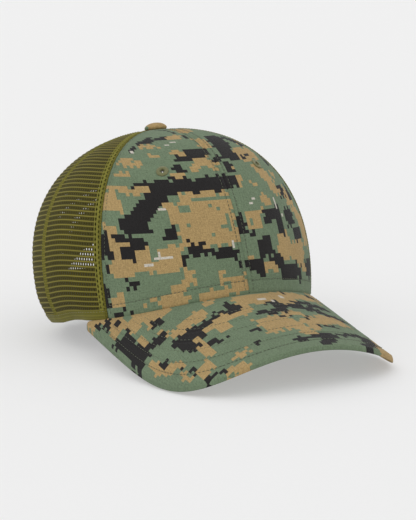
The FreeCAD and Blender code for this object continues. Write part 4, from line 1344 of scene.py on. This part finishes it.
def make_strap(name, side, radius, with_holes, body, nodes):
    """A moulded strap with a raised border, one piece from its sewn tab to its rounded tip."""
    line, run = strap_path(side, radius)
    flat_points, faces = strap_sheet(with_holes, run[-1])
    along, level = flat_points.T
    half = STRAP_WIDTH / 2.0
    short = np.clip(STRAP_CORNER - along, 0.0, STRAP_CORNER)
    reach = half - STRAP_CORNER + np.sqrt(np.maximum(STRAP_CORNER ** 2 - short ** 2, 0.0))
    level = level * np.where(np.abs(level) > SNAP_HOLE + 0.95, reach / half, 1.0)
    tip_side = np.clip(along / 1.0, 0.0, 1.0)
    plan = np.stack([np.interp(along, run, line[:, 0]), np.interp(along, run, line[:, 1])], -1)
    ahead = np.stack([np.interp(along, run, np.gradient(line[:, 0], run)),
                      np.interp(along, run, np.gradient(line[:, 1], run))], -1)
    outward = np.stack([ahead[:, 1], -ahead[:, 0]], -1)
    outward /= np.linalg.norm(outward, axis=1, keepdims=True)
    centre = np.array([0.0, strap_centre()])
    outward *= np.sign(((plan - centre) * outward).sum(1))[:, None]
    edge = np.maximum(half - np.abs(flat_points[:, 1]), 0.0)
    border = 0.16 * (1.0 - np.clip((edge - 1.2) / 0.8, 0.0, 1.0))
    bevel = 0.22 * (1.0 - np.clip(edge / 0.45, 0.0, 1.0)) + 0.15 * (1.0 - tip_side)
    thick = STRAP / 2.0 - 0.14 + border - bevel
    height = STRAP_BOTTOM + half + level
    front = np.column_stack([plan + outward * thick[:, None], height])
    back = np.column_stack([plan - outward * thick[:, None], height])
    strap = make_shell(name, front, back, faces, strap_plastic, flat_points)
    pegs = []
    if not with_holes:
        for number in range(SNAPS):
            angle = side * SNAP_PITCH * (number - 1) / STRAP_BEND
            direction = np.array([math.sin(angle), math.cos(angle), 0.0])
            sunk = radius + STRAP / 2.0 - PEG_SUNK
            foot = np.array([0.0, strap_centre(), STRAP_BOTTOM + half]) + direction * sunk
            beside = np.array([math.cos(angle), -math.sin(angle), 0.0])
            length = STRAP + STRAP_GAP + 0.35
            waist = PEG_RADIUS - 0.18
            profile = [(0.05, -0.1), (PEG_RADIUS, -0.1), (waist, 0.35), (waist, length - 0.75),
                       (PEG_RADIUS, length - 0.5), (PEG_RADIUS - 0.15, length - 0.2),
                       (PEG_RADIUS - 0.6, length), (0.05, length + 0.03)]
            pegs.append(turned_piece(
                f"snap_peg_{number + 1}", profile, 28, no_ripple,
                (foot, direction, beside, np.array([0.0, 0.0, 1.0])), strap_plastic))
    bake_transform(strap)
    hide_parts(*nodes)
    for peg in pegs:
        keep(peg, body, "strap_plastic")


# ---------------------------------------------------------------- assembly

# Lobes of a sewn seam: how far each lies from the rib, its width and its height.
FRONT_CORD = ((0.0, 0.4, 0.6),)
SIDE_LOBES = ((-1.1, 0.65, 0.55), (1.1, 0.65, 0.5))
REAR_LOBES = ((-1.1, 0.65, 0.5), (1.1, 0.65, 0.5))
BINDING_TOP = float(station_at_height([180.0], [ARCH_HEIGHT - HEM_BACK_DROP + 7.0])[0])

for label, sign in SIDES:
    make_front_panel(label, sign)
    make_net(f"side_net_{label}", sign, FRONT_SEAM, SIDE_SEAM, False, [f"side_mesh_{label}"])
    make_net(f"rear_net_{label}", sign, SIDE_SEAM, 180.0, True, [f"rear_mesh_{label}"])
    make_selvedge(f"net_selvedge_{label}", sign)
    seam_band(f"front_mesh_seam_{label}", sign * (FRONT_SEAM + 0.3), 0.004, 0.93, FRONT_CORD, 0.7)
    seam_band(f"side_mesh_seam_{label}", sign * SIDE_SEAM, 0.01, 0.93, SIDE_LOBES, 1.4)
    make_hem_fold(label, sign)
    make_tape(f"front_side_tape_{label}", sign * FRONT_SEAM, 2.0, f"seam_tape_front_side_{label}")
    make_tape(f"side_rear_tape_{label}", sign * SIDE_SEAM, 0.9, f"seam_tape_side_rear_{label}")
    make_eyelet(label, sign)

seam_band("rear_mesh_seam", 180.0, BINDING_TOP, 0.93, REAR_LOBES, 1.4)
make_tape("front_tape", 0.0, 2.0, "seam_tape_front")
make_tape("rear_tape", 180.0, 0.9, "seam_tape_rear", low=BINDING_TOP)
make_top_gather()
make_opening_binding()
make_sweatband()
make_visor_cover("visor_top_cloth", False, camo_visor, "camo_cloth", "visor_upper_cover")
make_visor_cover("visor_under_cloth", True, camo_under, "under_cloth", "visor_under_cover")
make_button()
make_strap("hole_strap_moulding", 1.0, STRAP_BEND, True, "hole_strap", ["hole_strap", "hole_strap_tab"])
make_strap("peg_strap_moulding", -1.0, STRAP_BEND - STRAP - STRAP_GAP, False, "peg_strap",
           ["peg_strap", "peg_strap_tab"])

for node, look in (("visor_board", board_plastic), ("button_rivet", rivet_metal)):
    data = frame["nodes"][node].data
    data.materials.clear()
    data.materials.append(look)


# ---------------------------------------------------------------- floor, light and camera

def make_floor():
    """A pale sweep under and behind the cap."""
    half = 6.0
    mesh = bpy.data.meshes.new("floor")
    mesh.from_pydata([(-half, -half, 0.0), (half, -half, 0.0), (half, half, 0.0), (-half, half, 0.0)], [],
                     [(0, 1, 2, 3)])
    material, nodes, shader = new_material("floor_paper", 0.9)
    grain = nodes.noise(object_vector(nodes), 0.4, 2.0)
    shade = nodes.mix(grain, (0.475, 0.475, 0.475, 1.0), (0.487, 0.487, 0.487, 1.0))
    finish_material(nodes, shader, shade, nodes.bump(grain, 0.02, 0.3))
    shader.inputs["Emission Color"].default_value = (1.0, 1.0, 1.0, 1.0)
    shader.inputs["Emission Strength"].default_value = 0.358
    mesh.materials.append(material)
    floor = bpy.data.objects.new("floor", mesh)
    bpy.context.scene.collection.objects.link(floor)


def aim(thing, target):
    thing.rotation_mode = "QUATERNION"
    thing.rotation_quaternion = (Vector(target) - thing.location).to_track_quat("-Z", "Y")


def make_sun(name, azimuth, elevation, spread_angle, power):
    """A very soft, even light from far away."""
    lamp = bpy.data.lights.new(name, "SUN")
    lamp.angle = math.radians(spread_angle)
    lamp.energy = power
    light = bpy.data.objects.new(name, lamp)
    bpy.context.scene.collection.objects.link(light)
    around = math.radians(azimuth)
    up = math.radians(elevation)
    light.location = (math.sin(around) * math.cos(up), -math.cos(around) * math.cos(up), math.sin(up))
    aim(light, (0.0, 0.0, 0.0))


def make_camera():
    """The photographed view, from the wearer's right front."""
    azimuth = math.radians(-29.81)
    elevation = math.radians(10.51)
    target = Vector((0.0045, 0.0026, 0.0569))
    distance = 1.3033
    back = Vector((math.sin(azimuth) * math.cos(elevation), -math.cos(azimuth) * math.cos(elevation),
                   math.sin(elevation)))
    data = bpy.data.cameras.new("camera")
    data.lens = 137.8
    data.clip_start = 0.05
    data.clip_end = 50.0
    camera = bpy.data.objects.new("camera", data)
    bpy.context.scene.collection.objects.link(camera)
    camera.location = target + back * distance
    camera.rotation_mode = "QUATERNION"
    camera.rotation_quaternion = (-back).to_track_quat("-Z", "Y")
    bpy.context.scene.camera = camera


def make_world():
    world = bpy.data.worlds.new("studio")
    world.use_nodes = True
    world.node_tree.nodes["Background"].inputs["Color"].default_value = (1.0, 1.0, 1.0, 1.0)
    world.node_tree.nodes["Background"].inputs["Strength"].default_value = 0.863
    bpy.context.scene.world = world


make_floor()
make_world()
make_sun("key", -70.0, 48.0, 50.0, 0.6)
make_sun("front_fill", 5.0, 40.0, 70.0, 0.15)
make_camera()
bpy.context.scene.view_settings.view_transform = "Standard"
